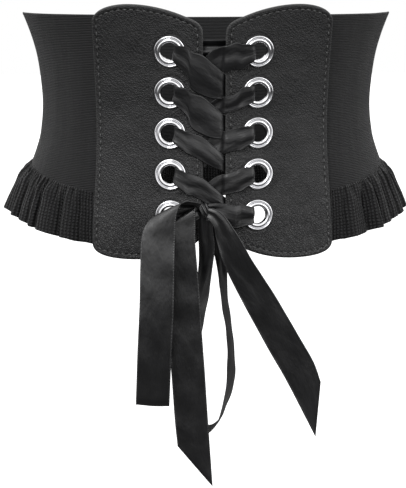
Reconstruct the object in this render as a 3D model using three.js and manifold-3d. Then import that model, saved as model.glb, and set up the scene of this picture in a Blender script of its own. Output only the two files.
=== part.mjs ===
// Laced corset belt, modelled as it is worn on a waist. Millimetres, +Z up, the front faces -Y.
// The origin is the middle of the waist, at its narrowest height. Left and right are those of the front view.
// Two leather front panels carry five eyelets each and are sewn over the ends of one wide elastic band.
// A gathered ruffle hangs from the band's lower edge. One satin ribbon laces the panels and ends in a bow.
import * as THREE from 'three';
import { mergeVertices } from 'three/addons/utils/BufferGeometryUtils.js';
import Module from 'manifold-3d';

// The waist and the heights above and below it
const WAIST_HALF_WIDTH = 129.3;
const WAIST_HALF_DEPTH = 92;
const BAND_RISE = 72;
const BAND_BACK_DIP = 7.5;
const SEAM_DROP_SIDE = 48;
const SEAM_DROP_FRONT = 61.5;
const SEAM_DROP_BACK = 52;

// Thicknesses, and the clearance between pieces that touch
const ELASTIC_THICKNESS = 1.5;
const PANEL_THICKNESS = 2.4;
const RUFFLE_THICKNESS = 1.2;
const RIBBON_THICKNESS = 1;
const CLEARANCE = 0.3;
const SEAM_CLEARANCE = 0.75;

// Front panels
const LACING_GAP = 16.4;
const PANEL_WIDTH = 78.8;
const PANEL_RISE = 79.7;
const PANEL_DROP = 106.8;
const SEAM_ALLOWANCE = 9;

// Ruffle
const RUFFLE_DROP_SIDE = 35.5;
const RUFFLE_DROP_FRONT = 38.3;
const RUFFLE_FLARE = 6;
const FOLD_DEPTH = 4.2;
const FOLD_COUNT = 42;

// Eyelets: the top and bottom ones keep their distances from the panel's top and bottom
const EYELET_ROWS = 5;
const EYELET_TOP_INSET = 33;
const EYELET_BOTTOM_INSET = 33.5;
const EYELET_TOP_Z = PANEL_RISE - EYELET_TOP_INSET;
const EYELET_PITCH = (EYELET_TOP_Z + PANEL_DROP - EYELET_BOTTOM_INSET) / (EYELET_ROWS - 1);
const EYELET_INSET = 23.1;
const EYELET_HOLE_RADIUS = 6.5;
const EYELET_RADIUS = 11.5;
const EYELET_BARREL_WALL = 0.8;
const EYELET_RIM_HEIGHT = 2;
const EYELET_SEAT = 0.6;
const EYELET_WASHER_RADIUS = 10.4;
const EYELET_WASHER_THICKNESS = 0.7;

// Ribbon and bow
const RIBBON_WIDTH = 25;
const KNOT_X = -7;
const KNOT_RISE = 4.4;
const KNOT_HALF_WIDTH = 5.8;
const KNOT_HALF_HEIGHT = 7;
const KNOT_HALF_DEPTH = 4.4;
const BOW_LAYER = 5;
const LOOP_LEFT_DROP = 145.5;
const LOOP_RIGHT_DROP = 176;
const TAIL_LEFT_DROP = 213.3;
const TAIL_RIGHT_DROP = 176;

// Mesh steps
const BAND_COLUMNS = 42;
const BAND_ROWS = 8;
const PANEL_COLUMNS = 6;
const PANEL_ROWS = 11;
const OUTLINE_STEPS = 4;
const FOLD_STEPS = 5;
const EYELET_SIDES = 12;
const RIBBON_COLUMNS = 3;

// The waist's cross-section: height in shares of BAND_RISE above the waist and of PANEL_DROP below it,
// width and depth in shares of the waist's own.
const BODY_SECTIONS = [
  { height: -1.1, width: 1.218, depth: 1.08 },
  { height: -0.77, width: 1.175, depth: 1.072 },
  { height: -0.58, width: 1.128, depth: 1.056 },
  { height: -0.47, width: 1.09, depth: 1.045 },
  { height: -0.32, width: 1.043, depth: 1.028 },
  { height: -0.21, width: 1.0185, depth: 1.014 },
  { height: 0, width: 1, depth: 1 },
  { height: 0.3, width: 1.0085, depth: 1.008 },
  { height: 0.55, width: 1.028, depth: 1.02 },
  { height: 0.76, width: 1.059, depth: 1.037 },
  { height: 1, width: 1.107, depth: 1.06 },
  { height: 1.2, width: 1.15, depth: 1.08 },
];

// One lacing strand, from the eyelet that it leaves in front to the next lower eyelet on the other side.
// zone and at: near runs from the first eyelet's wall to its panel's inner edge, gap from edge to edge
// (-1 to 1), far from the second panel's inner edge to its eyelet's wall. drop is a share of EYELET_PITCH, half
// is half the gathered ribbon's width as a share of RIBBON_WIDTH, and level runs from 0, behind the panels, to
// 1, in front of them. Below 0 it goes on back to the eyelets' washers at -0.3.
const LEFT_STRAND = [
  { zone: 'near', at: 0.56, drop: 0.15, half: 0.36, level: 1 },
  { zone: 'gap', at: -1, drop: 0.31, half: 0.408, level: 1 },
  { zone: 'gap', at: -0.1, drop: 0.53, half: 0.384, level: 0.98 },
  { zone: 'gap', at: 0.6, drop: 0.69, half: 0.312, level: 0.88 },
  { zone: 'gap', at: 0.8, drop: 0.74, half: 0.286, level: 0.46 },
  { zone: 'gap', at: 0.9, drop: 0.76, half: 0.283, level: 0.02 },
  { zone: 'far', at: 0.1, drop: 0.8, half: 0.282, level: 0 },
  { zone: 'far', at: 0.38, drop: 0.9, half: 0.276, level: -0.3 },
  { zone: 'far', at: 0.7, drop: 0.97, half: 0.252, level: -0.36 },
];
const RIGHT_STRAND = [
  { zone: 'near', at: 0.56, drop: 0.08, half: 0.312, level: 1 },
  { zone: 'gap', at: -0.98, drop: 0.235, half: 0.283, level: 1 },
  { zone: 'gap', at: -0.8, drop: 0.245, half: 0.283, level: 0.72 },
  { zone: 'gap', at: -0.6, drop: 0.262, half: 0.288, level: 0.44 },
  { zone: 'gap', at: 0, drop: 0.36, half: 0.336, level: 0.32 },
  { zone: 'gap', at: 0.6, drop: 0.5, half: 0.36, level: 0.14 },
  { zone: 'gap', at: 1, drop: 0.62, half: 0.36, level: 0 },
  { zone: 'far', at: 0.38, drop: 0.82, half: 0.324, level: -0.3 },
  { zone: 'far', at: 0.7, drop: 0.95, half: 0.252, level: -0.36 },
];

// The bow's strips. across is in ribbon widths from the knot's middle, forward in BOW_LAYERs from it, width in
// ribbon widths. zone panel measures at from the knot to the panels' lower edge, free from there to the
// strip's own drop. roll lifts the strip's right edge, turn brings that edge forward, in degrees.
const LOOP_LEFT = [
  { across: -0.18, forward: 0.6, zone: 'panel', at: -0.06, width: 0.32, roll: 65, turn: 20 },
  { across: -0.48, forward: 1.3, zone: 'panel', at: -0.15, width: 0.56, roll: 50, turn: 18 },
  { across: -0.8, forward: 1.85, zone: 'panel', at: -0.17, width: 0.8, roll: 36, turn: 12 },
  { across: -1.12, forward: 2.2, zone: 'panel', at: -0.07, width: 0.95, roll: 30, turn: 6 },
  { across: -1.3, forward: 2.3, zone: 'panel', at: 0.13, width: 1, roll: 20, turn: 3 },
  { across: -1.38, forward: 2.25, zone: 'panel', at: 0.45, width: 1, roll: 8, turn: 0 },
  { across: -1.41, forward: 2.1, zone: 'panel', at: 0.95, width: 1, roll: 2, turn: 0 },
  { across: -1.44, forward: 1.95, zone: 'free', at: 0.26, width: 1, roll: 0, turn: 0 },
  { across: -1.51, forward: 1.8, zone: 'free', at: 0.586, width: 1, roll: -1, turn: 0 },
  { across: -1.56, forward: 1.65, zone: 'free', at: 0.88, width: 1, roll: -3, turn: 0 },
  { across: -1.575, forward: 1.55, zone: 'free', at: 0.98, width: 1, roll: -3, turn: 0 },
  { across: -1.575, forward: 1.3, zone: 'free', at: 1, width: 1, roll: -3, turn: 0 },
  { across: -1.575, forward: 1.08, zone: 'free', at: 0.98, width: 1, roll: -3, turn: 0 },
  { across: -1.54, forward: 1, zone: 'free', at: 0.8, width: 1, roll: -3, turn: 0 },
  { across: -1.46, forward: 1, zone: 'free', at: 0.49, width: 1, roll: -2, turn: 0 },
  { across: -1.36, forward: 1.05, zone: 'free', at: 0.167, width: 1, roll: -4, turn: 0 },
  { across: -1.14, forward: 1.15, zone: 'panel', at: 0.8, width: 0.95, roll: -12, turn: 0 },
  { across: -0.76, forward: 1.2, zone: 'panel', at: 0.42, width: 0.66, roll: -35, turn: 0 },
  { across: -0.24, forward: 0.75, zone: 'panel', at: 0.15, width: 0.28, roll: -60, turn: 0 },
];
const LOOP_RIGHT = [
  { across: -0.13, forward: 0.05, zone: 'panel', at: 0.14, width: 0.16, roll: 0, turn: 5 },
  { across: -0.08, forward: -0.45, zone: 'panel', at: 0.5, width: 0.32, roll: 0, turn: 15 },
  { across: 0.02, forward: -0.62, zone: 'panel', at: 0.82, width: 0.45, roll: 0, turn: 20 },
  { across: 0, forward: -1.1, zone: 'free', at: 0.043, width: 0.5, roll: 0, turn: 40 },
  { across: -0.06, forward: -2, zone: 'free', at: 0.166, width: 0.75, roll: 0, turn: 60 },
  { across: -0.22, forward: -2.55, zone: 'free', at: 0.346, width: 0.95, roll: 0, turn: 70 },
  { across: -0.36, forward: -2.8, zone: 'free', at: 0.6, width: 1, roll: 0, turn: 82 },
  { across: -0.3, forward: -2.8, zone: 'free', at: 0.815, width: 1, roll: 0, turn: 82 },
  { across: -0.1, forward: -2.75, zone: 'free', at: 0.945, width: 1, roll: 0, turn: 82 },
  { across: 0.16, forward: -2.75, zone: 'free', at: 0.99, width: 1, roll: 0, turn: 82 },
  { across: 0.42, forward: -2.75, zone: 'free', at: 0.955, width: 1, roll: 0, turn: 82 },
  { across: 0.64, forward: -2.75, zone: 'free', at: 0.86, width: 1, roll: 0, turn: 82 },
  { across: 0.8, forward: -2.75, zone: 'free', at: 0.73, width: 1, roll: 0, turn: 82 },
  { across: 0.85, forward: -2.75, zone: 'free', at: 0.6, width: 1, roll: 0, turn: 82 },
  { across: 0.8, forward: -2.7, zone: 'free', at: 0.454, width: 1, roll: 0, turn: 82 },
  { across: 0.69, forward: -2.55, zone: 'free', at: 0.296, width: 0.95, roll: 0, turn: 80 },
  { across: 0.58, forward: -2.15, zone: 'free', at: 0.15, width: 0.8, roll: 0, turn: 77 },
  { across: 0.52, forward: -1.15, zone: 'free', at: 0.043, width: 0.55, roll: 0, turn: 62 },
  { across: 0.46, forward: -0.6, zone: 'panel', at: 0.82, width: 0.4, roll: 0, turn: 25 },
  { across: 0.34, forward: -0.42, zone: 'panel', at: 0.5, width: 0.3, roll: 0, turn: 10 },
  { across: 0.14, forward: 0.1, zone: 'panel', at: 0.14, width: 0.16, roll: 0, turn: 0 },
];
const TAIL_LEFT = [
  { across: -0.16, forward: 0.1, zone: 'panel', at: -0.02, width: 0.3, roll: -65, turn: 0 },
  { across: -0.36, forward: 0.28, zone: 'panel', at: -0.03, width: 0.5, roll: -48, turn: 0 },
  { across: -0.58, forward: 0.32, zone: 'panel', at: 0.04, width: 0.75, roll: -30, turn: 0 },
  { across: -0.73, forward: 0.3, zone: 'panel', at: 0.22, width: 0.95, roll: -12, turn: 0 },
  { across: -0.79, forward: 0.25, zone: 'panel', at: 0.55, width: 1, roll: -2, turn: 0 },
  { across: -0.75, forward: 0.25, zone: 'panel', at: 0.95, width: 1, roll: 2, turn: 0 },
  { across: -0.68, forward: 0.3, zone: 'free', at: 0.11, width: 1, roll: 3, turn: 0 },
  { across: -0.61, forward: 0.3, zone: 'free', at: 0.274, width: 1, roll: 3, turn: 0 },
  { across: -0.51, forward: 0.3, zone: 'free', at: 0.474, width: 1, roll: 3, turn: 0 },
  { across: -0.42, forward: 0.3, zone: 'free', at: 0.674, width: 1, roll: 1, turn: 0 },
  { across: -0.3, forward: 0.3, zone: 'free', at: 0.905, width: 1.7, roll: -51, turn: 0 },
];
const TAIL_RIGHT = [
  { across: 0.18, forward: 0.35, zone: 'panel', at: 0.03, width: 0.3, roll: 85, turn: 0 },
  { across: 0.38, forward: 0.6, zone: 'panel', at: 0.16, width: 0.44, roll: 60, turn: 0 },
  { across: 0.5, forward: 0.75, zone: 'panel', at: 0.42, width: 0.64, roll: 34, turn: 0 },
  { across: 0.63, forward: 0.8, zone: 'panel', at: 0.7, width: 0.8, roll: 29, turn: 0 },
  { across: 0.8, forward: 0.8, zone: 'free', at: 0.01, width: 0.97, roll: 28, turn: 0 },
  { across: 1.08, forward: 0.75, zone: 'free', at: 0.1, width: 1, roll: 28, turn: 0 },
  { across: 1.41, forward: 0.65, zone: 'free', at: 0.197, width: 1, roll: 29, turn: 0 },
  { across: 2.3, forward: 0.4, zone: 'free', at: 0.465, width: 1, roll: 30, turn: 0 },
  { across: 2.78, forward: 0.25, zone: 'free', at: 0.6, width: 1, roll: 34, turn: 0 },
  { across: 3.44, forward: 0.05, zone: 'free', at: 0.84, width: 1.77, roll: 86, turn: 0 },
];

// Places that follow from the sizes
const PANEL_INNER_X = LACING_GAP / 2;
const PANEL_OUTER_X = PANEL_INNER_X + PANEL_WIDTH;
const EYELET_COLUMN_X = PANEL_INNER_X + EYELET_INSET;

// Levels, as distances out from the body's surface
const BAND_MIDDLE = ELASTIC_THICKNESS / 2;
const PANEL_BACK = ELASTIC_THICKNESS + 2 * CLEARANCE;
const PANEL_FRONT = PANEL_BACK + PANEL_THICKNESS;
const EYELET_SAG = EYELET_RADIUS ** 2 / (2 * WAIST_HALF_WIDTH ** 2 / WAIST_HALF_DEPTH);
const WASHER_BACK = PANEL_BACK - EYELET_SAG - 2 * CLEARANCE - EYELET_WASHER_THICKNESS;
const STRAND_FRONT = PANEL_FRONT + EYELET_SEAT + RIBBON_THICKNESS / 2;
const STRAND_BACK = PANEL_BACK - 1.5 * CLEARANCE - RIBBON_THICKNESS / 2;
const STRAND_RIM = PANEL_FRONT + EYELET_SEAT + EYELET_RIM_HEIGHT + 1.4 * CLEARANCE + RIBBON_THICKNESS / 2;
const STRAND_WASHER = WASHER_BACK - CLEARANCE - RIBBON_THICKNESS / 2;
const STRAND_WALL = EYELET_HOLE_RADIUS * Math.cos(Math.PI / EYELET_SIDES) - CLEARANCE - RIBBON_THICKNESS / 2;
const KNOT_LEVEL = STRAND_RIM + RIBBON_THICKNESS + KNOT_HALF_DEPTH / 2;
const BAR_LEVEL = STRAND_WASHER;

const { sin, cos, PI, sqrt, asin, abs, hypot } = Math;
const radians = THREE.MathUtils.degToRad;
const lerp = THREE.MathUtils.lerp;
const smoothstep = THREE.MathUtils.smoothstep;
const rowZ = (row) => EYELET_TOP_Z - row * EYELET_PITCH;
const bandEnd = (z) => asin((PANEL_OUTER_X - SEAM_ALLOWANCE) / halfWidth(z));
const bandAngle = (share, z) => lerp(bandEnd(z), 2 * PI - bandEnd(z), share);

// Smooth value of one column of a table of sections, at a height given in the table's own shares.
function columnAt(table, key, height) {
  const last = table.length - 1;
  let i = table.findIndex((row) => row.height > height);
  if (i < 1) i = i === 0 ? 1 : last;
  const slope = (k) => {
    const [below, above] = [table[Math.max(k - 1, 0)], table[Math.min(k + 1, last)]];
    return (above[key] - below[key]) / (above.height - below.height);
  };
  const [low, high] = [table[i - 1], table[i]];
  const span = high.height - low.height;
  const s = (height - low.height) / span;
  return low[key] * (1 + 2 * s) * (1 - s) ** 2 + slope(i - 1) * span * s * (1 - s) ** 2
    + high[key] * (3 - 2 * s) * s ** 2 - slope(i) * span * s ** 2 * (1 - s);
}

function halfWidth(z) {
  return WAIST_HALF_WIDTH * columnAt(BODY_SECTIONS, 'width', z / (z > 0 ? BAND_RISE : PANEL_DROP));
}

function halfDepth(z) {
  return WAIST_HALF_DEPTH * columnAt(BODY_SECTIONS, 'depth', z / (z > 0 ? BAND_RISE : PANEL_DROP));
}

// The body's surface at an angle round the waist from the middle of the front, moved out along its normal.
function around(angle, z, out = 0) {
  const surface = (a, h) => new THREE.Vector3(halfWidth(h) * sin(a), -halfDepth(h) * cos(a), h);
  const step = 0.01;
  const along = surface(angle + step, z).sub(surface(angle - step, z));
  const up = surface(angle, z + step).sub(surface(angle, z - step));
  const normal = along.cross(up).normalize();
  return surface(angle, z).addScaledVector(normal, out);
}

// The same for a place on the front that is given by its X at the surface.
function frontAt(x, z, out = 0) {
  return around(asin(x / halfWidth(z)), z, out);
}

// A closed solid of a thickness around a grid of points, grid[i][j].
function sheetSolid(grid, thickness) {
  const [rows, columns] = [grid.length, grid[0].length];
  const at = (i, j) => grid[Math.min(Math.max(i, 0), rows - 1)][Math.min(Math.max(j, 0), columns - 1)];
  const positions = [];
  for (const side of [0.5, -0.5]) {
    for (let i = 0; i < rows; i += 1) {
      for (let j = 0; j < columns; j += 1) {
        const down = at(i + 1, j).clone().sub(at(i - 1, j));
        const across = at(i, j + 1).clone().sub(at(i, j - 1));
        const point = at(i, j).clone().addScaledVector(across.cross(down).normalize(), side * thickness);
        positions.push(point.x, point.y, point.z);
      }
    }
  }
  const front = (i, j) => i * columns + j;
  const back = (i, j) => rows * columns + i * columns + j;
  const index = [];
  const quad = (a, b, c, d) => index.push(a, b, c, a, c, d);
  for (let i = 0; i + 1 < rows; i += 1) {
    for (let j = 0; j + 1 < columns; j += 1) {
      quad(front(i, j), front(i + 1, j), front(i + 1, j + 1), front(i, j + 1));
      quad(back(i, j), back(i, j + 1), back(i + 1, j + 1), back(i + 1, j));
    }
    quad(front(i, 0), back(i, 0), back(i + 1, 0), front(i + 1, 0));
    quad(front(i, columns - 1), front(i + 1, columns - 1), back(i + 1, columns - 1), back(i, columns - 1));
  }
  for (let j = 0; j + 1 < columns; j += 1) {
    quad(front(0, j), front(0, j + 1), back(0, j + 1), back(0, j));
    quad(front(rows - 1, j), back(rows - 1, j), back(rows - 1, j + 1), front(rows - 1, j + 1));
  }
  const geometry = new THREE.BufferGeometry();
  geometry.setAttribute('position', new THREE.Float32BufferAttribute(positions, 3));
  geometry.setIndex(index);
  return facingOut(geometry);
}

// Turns an indexed closed geometry's faces outwards.
function facingOut(geometry) {
  const { array } = geometry.getAttribute('position');
  const { array: index } = geometry.index;
  const corner = (k) => new THREE.Vector3().fromArray(array, 3 * index[k]);
  let volume = 0;
  for (let k = 0; k < index.length; k += 3) volume += corner(k).dot(corner(k + 1).cross(corner(k + 2)));
  if (volume < 0) {
    for (let k = 0; k < index.length; k += 3) [index[k + 1], index[k + 2]] = [index[k + 2], index[k + 1]];
  }
  return geometry;
}

const wasm = await Module();
wasm.setup();

function toSolid(geometry) {
  const bare = geometry.clone();
  bare.deleteAttribute('normal');
  bare.deleteAttribute('uv');
  const merged = facingOut(mergeVertices(bare, 1e-4));
  const vertProperties = new Float32Array(merged.getAttribute('position').array);
  return new wasm.Manifold(new wasm.Mesh({
    numProp: 3, vertProperties, triVerts: new Uint32Array(merged.index.array),
  }));
}

function toGeometry(solid) {
  const mesh = solid.getMesh();
  const geometry = new THREE.BufferGeometry();
  geometry.setAttribute('position', new THREE.Float32BufferAttribute(mesh.vertProperties, 3));
  geometry.setIndex(Array.from(mesh.triVerts));
  return geometry;
}

// Materials
const leather = new THREE.MeshStandardMaterial({ color: 0x1c1c1d, roughness: 0.5, metalness: 0 });
const elastic = new THREE.MeshStandardMaterial({ color: 0x161617, roughness: 0.85, metalness: 0 });
const ruffled = new THREE.MeshStandardMaterial({ color: 0x18181a, roughness: 0.8, metalness: 0 });
const satin = new THREE.MeshStandardMaterial({ color: 0x17171a, roughness: 0.35, metalness: 0 });
const nickel = new THREE.MeshStandardMaterial({ color: 0xc9c9cc, roughness: 0.2, metalness: 1 });

const belt = new THREE.Group();

function addPiece(name, geometry, material) {
  const mesh = new THREE.Mesh(geometry, material);
  mesh.name = name;
  belt.add(mesh);
  return mesh;
}

// Heights of the band's top edge and of its seam with the ruffle, and the ruffle's drop, by angle from the front.
// The top edge dips at the back. The seam lies lowest at the panels and highest at the sides.
function topZ(angle) {
  return BAND_RISE - BAND_BACK_DIP * Math.max(-cos(angle), 0);
}

function seamZ(angle) {
  const facing = cos(angle);
  const atPanel = sqrt(1 - (PANEL_OUTER_X / halfWidth(-SEAM_DROP_FRONT)) ** 2);
  if (facing < 0) return -lerp(SEAM_DROP_SIDE, SEAM_DROP_BACK, facing ** 2);
  return -lerp(SEAM_DROP_SIDE, SEAM_DROP_FRONT, (facing / atPanel) ** 1.5);
}

function ruffleDrop(angle) {
  return lerp(RUFFLE_DROP_SIDE, RUFFLE_DROP_FRONT, Math.max(cos(angle), 0));
}

// Elastic band: one strip round the back, whose ends lie behind the panels' outer edges.
function elasticBand() {
  const grid = [];
  for (let i = 0; i <= BAND_COLUMNS; i += 1) {
    const column = [];
    for (let j = 0; j <= BAND_ROWS; j += 1) {
      const nominal = bandAngle(i / BAND_COLUMNS, 0);
      const z = lerp(seamZ(nominal), topZ(nominal), j / BAND_ROWS);
      column.push(around(bandAngle(i / BAND_COLUMNS, z), z, BAND_MIDDLE));
    }
    grid.push(column);
  }
  return sheetSolid(grid, ELASTIC_THICKNESS);
}
addPiece('elastic_band', elasticBand(), elastic);

// The angle round the waist over which the ruffle's ends lie flat behind the panels.
const TUCK_ANGLE = 0.12;

// Ruffle: gathered along the seam, puffed out below it and folded more deeply towards the hem.
const RUFFLE_SECTIONS = [
  { height: 0, puff: 0, fold: 0 },
  { height: 0.24, puff: 0.42, fold: 0.5 },
  { height: 1, puff: 1, fold: 1 },
];

function ruffle() {
  const grid = [];
  const columns = FOLD_COUNT * FOLD_STEPS;
  for (let i = 0; i <= columns; i += 1) {
    const share = i / columns;
    const nominal = bandAngle(share, 0);
    const fromEnd = Math.min(nominal, 2 * PI - nominal) - bandEnd(0);
    const free = smoothstep(fromEnd, TUCK_ANGLE, 2 * TUCK_ANGLE);
    const phase = 2 * PI * FOLD_COUNT * share + 0.9 * sin(2 * PI * 9 * share) + 0.6 * sin(2 * PI * 23 * share + 1);
    const depth = FOLD_DEPTH * (1 + 0.28 * sin(2 * PI * 13 * share + 2));
    const column = RUFFLE_SECTIONS.map(({ height, puff, fold }) => {
      const z = seamZ(nominal) - SEAM_CLEARANCE - height * ruffleDrop(nominal);
      const flare = RUFFLE_FLARE * puff * (0.45 + 0.55 * abs(sin(nominal)));
      const out = BAND_MIDDLE + free * (flare + depth * fold * cos(phase));
      return around(bandAngle(share, z), z, out);
    });
    grid.push(column);
  }
  return sheetSolid(grid, RUFFLE_THICKNESS);
}
addPiece('ruffle', ruffle(), ruffled);

// Outline of the right front panel as it is seen from the front. The left one mirrors it.
function panelOutline() {
  const inner = PANEL_INNER_X;
  const x = (share) => inner + share * PANEL_WIDTH;
  const outline = new THREE.Shape();
  outline.moveTo(inner, 0.7 * PANEL_RISE);
  outline.bezierCurveTo(
    inner, 0.82 * PANEL_RISE, x(0.03), 0.84 * PANEL_RISE, x(0.17), 0.895 * PANEL_RISE,
  );
  outline.bezierCurveTo(x(0.34), 0.965 * PANEL_RISE, x(0.52), PANEL_RISE, x(0.68), PANEL_RISE);
  outline.bezierCurveTo(x(0.84), PANEL_RISE, x(1.02), 0.95 * PANEL_RISE, x(1.01), 0.82 * PANEL_RISE);
  outline.bezierCurveTo(x(1), 0.5 * PANEL_RISE, x(0.985), 0.2 * PANEL_RISE, x(0.985), -0.1 * PANEL_DROP);
  outline.bezierCurveTo(
    x(0.985), -0.4 * PANEL_DROP, x(1.03), -0.65 * PANEL_DROP, x(1.04), -0.9 * PANEL_DROP,
  );
  outline.bezierCurveTo(x(1.04), -0.97 * PANEL_DROP, x(0.93), -PANEL_DROP, x(0.7), -PANEL_DROP);
  outline.bezierCurveTo(x(0.5), -PANEL_DROP, x(0.32), -0.97 * PANEL_DROP, x(0.17), -0.915 * PANEL_DROP);
  outline.bezierCurveTo(
    x(0.06), -0.875 * PANEL_DROP, inner, -0.85 * PANEL_DROP, inner, -0.77 * PANEL_DROP,
  );
  outline.closePath();
  return outline;
}

// Turns +Z to the body's normal at an eyelet, at a distance out from the surface.
function eyeletFrame(side, row, out) {
  const place = frontAt(side * EYELET_COLUMN_X, rowZ(row), out);
  const normal = frontAt(side * EYELET_COLUMN_X, rowZ(row), out + 1).sub(place).normalize();
  const turn = new THREE.Quaternion().setFromUnitVectors(new THREE.Vector3(0, 0, 1), normal);
  return new THREE.Matrix4().compose(place, turn, new THREE.Vector3(1, 1, 1));
}

// Front panel: a slab that follows the body, cut to the outline and bored for the eyelets.
function frontPanel(side) {
  const margin = 4;
  const grid = [];
  const [inner, outer] = [PANEL_INNER_X - margin, PANEL_OUTER_X + 2 * margin];
  const [low, high] = [-PANEL_DROP - margin, PANEL_RISE + margin];
  for (let i = 0; i <= PANEL_COLUMNS; i += 1) {
    const column = [];
    for (let j = 0; j <= PANEL_ROWS; j += 1) {
      const x = side * lerp(inner, outer, i / PANEL_COLUMNS);
      column.push(frontAt(x, lerp(low, high, j / PANEL_ROWS), (PANEL_BACK + PANEL_FRONT) / 2));
    }
    grid.push(column);
  }
  const reach = 2 * WAIST_HALF_DEPTH;
  const prism = new THREE.ExtrudeGeometry(panelOutline(), { depth: reach, bevelEnabled: false, curveSegments: OUTLINE_STEPS });
  prism.rotateX(PI / 2);
  prism.scale(side, 1, 1);
  let panel = toSolid(sheetSolid(grid, PANEL_THICKNESS)).intersect(toSolid(prism));
  const boreRadius = EYELET_HOLE_RADIUS + EYELET_BARREL_WALL + CLEARANCE / cos(PI / EYELET_SIDES);
  for (let row = 0; row < EYELET_ROWS; row += 1) {
    const bore = new THREE.CylinderGeometry(boreRadius, boreRadius, 6 * PANEL_THICKNESS, EYELET_SIDES);
    bore.rotateX(PI / 2);
    bore.applyMatrix4(eyeletFrame(side, row, PANEL_BACK));
    panel = panel.subtract(toSolid(bore));
  }
  return toGeometry(panel);
}
addPiece('front_panel_left', frontPanel(-1), leather);
addPiece('front_panel_right', frontPanel(1), leather);

// Eyelet: a rolled rim in front, a barrel through the panel and a washer behind it, in one piece.
function eyelet() {
  const barrel = EYELET_HOLE_RADIUS + EYELET_BARREL_WALL;
  const seat = EYELET_SEAT;
  const washerFront = WASHER_BACK + EYELET_WASHER_THICKNESS - PANEL_FRONT;
  const washerBack = WASHER_BACK - PANEL_FRONT;
  const middle = (EYELET_HOLE_RADIUS + EYELET_RADIUS) / 2;
  const profile = [
    [EYELET_HOLE_RADIUS, seat + 0.6 * EYELET_RIM_HEIGHT],
    [EYELET_HOLE_RADIUS, washerBack],
    [EYELET_WASHER_RADIUS, washerBack],
    [EYELET_WASHER_RADIUS, washerFront],
    [barrel, washerFront],
    [barrel, seat],
    [EYELET_RADIUS, seat],
    [middle, seat + EYELET_RIM_HEIGHT],
    [EYELET_HOLE_RADIUS, seat + 0.6 * EYELET_RIM_HEIGHT],
  ];
  const lathe = new THREE.LatheGeometry(profile.map(([r, h]) => new THREE.Vector2(r, h)), EYELET_SIDES);
  lathe.rotateX(PI / 2);
  return toGeometry(toSolid(lathe));
}
for (const [label, side] of [['left', -1], ['right', 1]]) {
  for (let row = 0; row < EYELET_ROWS; row += 1) {
    const ring = addPiece(`eyelet_${label}_${row + 1}`, eyelet(), nickel);
    eyeletFrame(side, row, PANEL_FRONT).decompose(ring.position, ring.quaternion, ring.scale);
  }
}

// Lacing ribbon. A station is a list of points from the ribbon's lower edge to its upper one.
const columnShares = Array.from({ length: RIBBON_COLUMNS + 1 }, (_, j) => (2 * j) / RIBBON_COLUMNS - 1);

// Where the ribbon is curled round the side of an eyelet's hole that faces the lacing gap.
function holeStation(side, row, radius, spread, out) {
  return columnShares.map((share) => {
    const angle = radians(spread) * share;
    return frontAt(side * (EYELET_COLUMN_X - radius * cos(angle)), rowZ(row) + radius * sin(angle), out);
  });
}

// How the ribbon goes through an eyelet, from its back to the far side of its rim in front.
const HOLE_PASS = [
  { radius: STRAND_WALL + 2.6, spread: 46, out: STRAND_WASHER },
  { radius: STRAND_WALL + 0.1, spread: 62, out: STRAND_WASHER - 0.1 },
  { radius: STRAND_WALL - 0.4, spread: 66, out: STRAND_RIM - 1.4 },
  { radius: STRAND_WALL + 0.6, spread: 60, out: STRAND_RIM + 0.2 },
  { radius: (EYELET_HOLE_RADIUS + EYELET_RADIUS) / 2, spread: 48, out: STRAND_RIM + 0.3 },
  { radius: EYELET_RADIUS + 1, spread: 38, out: STRAND_RIM - 0.6 },
];

function passHole(side, row, outwards) {
  const pass = HOLE_PASS.map(({ radius, spread, out }) => holeStation(side, row, radius, spread, out));
  return outwards ? pass : pass.reverse();
}

function strandStations(side, row) {
  const edge = PANEL_INNER_X;
  const wall = EYELET_COLUMN_X - STRAND_WALL;
  const table = side < 0 ? LEFT_STRAND : RIGHT_STRAND;
  const places = {
    near: (at) => side * lerp(wall, edge, at),
    gap: (at) => -side * at * edge,
    far: (at) => -side * lerp(edge, wall, at),
  };
  return table.map(({ zone, at, drop, half, level }) => {
    const out = level < 0
      ? lerp(STRAND_BACK, STRAND_WASHER, -level / 0.3)
      : lerp(STRAND_BACK, STRAND_FRONT, level);
    const x = places[zone](at);
    const z = rowZ(row) - drop * EYELET_PITCH;
    return columnShares.map((share) => frontAt(x, z + share * half * RIBBON_WIDTH, out));
  });
}

const knotZ = rowZ(EYELET_ROWS - 1) + KNOT_RISE;

// From a bottom eyelet to the knot, in front of everything else.
function strandToKnot(side) {
  const row = EYELET_ROWS - 1;
  const from = side * (EYELET_COLUMN_X - EYELET_RADIUS - 3);
  const to = KNOT_X + side * 0.45 * KNOT_HALF_WIDTH;
  return [0.08, 0.4, 0.75, 1].map((share) => {
    const half = lerp(0.32, 0.14, share) * RIBBON_WIDTH;
    const z = lerp(rowZ(row), knotZ, share);
    const out = lerp(STRAND_RIM, KNOT_LEVEL - 0.45 * KNOT_HALF_DEPTH, share ** 2);
    return columnShares.map((across) => frontAt(lerp(from, to, share), z + across * half, out));
  });
}

// The whole lacing: from the knot up one way to the bar behind the top eyelets, and down the other way.
function laceGrid() {
  const walk = (startSide) => {
    const stations = [...passHole(startSide, 0, true)];
    let side = startSide;
    for (let row = 0; row + 1 < EYELET_ROWS; row += 1) {
      stations.push(...strandStations(side, row));
      side = -side;
      stations.push(...passHole(side, row + 1, true));
    }
    stations.push(...strandToKnot(side));
    return stations;
  };
  const bar = [-0.5, 0.5].map((share) => columnShares.map((across) => (
    frontAt(share * LACING_GAP, rowZ(0) + across * 0.3 * RIBBON_WIDTH, BAR_LEVEL)
  )));
  return [...walk(-1).reverse(), ...bar, ...walk(1)];
}

const knotMiddle = frontAt(KNOT_X, knotZ, KNOT_LEVEL);

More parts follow.
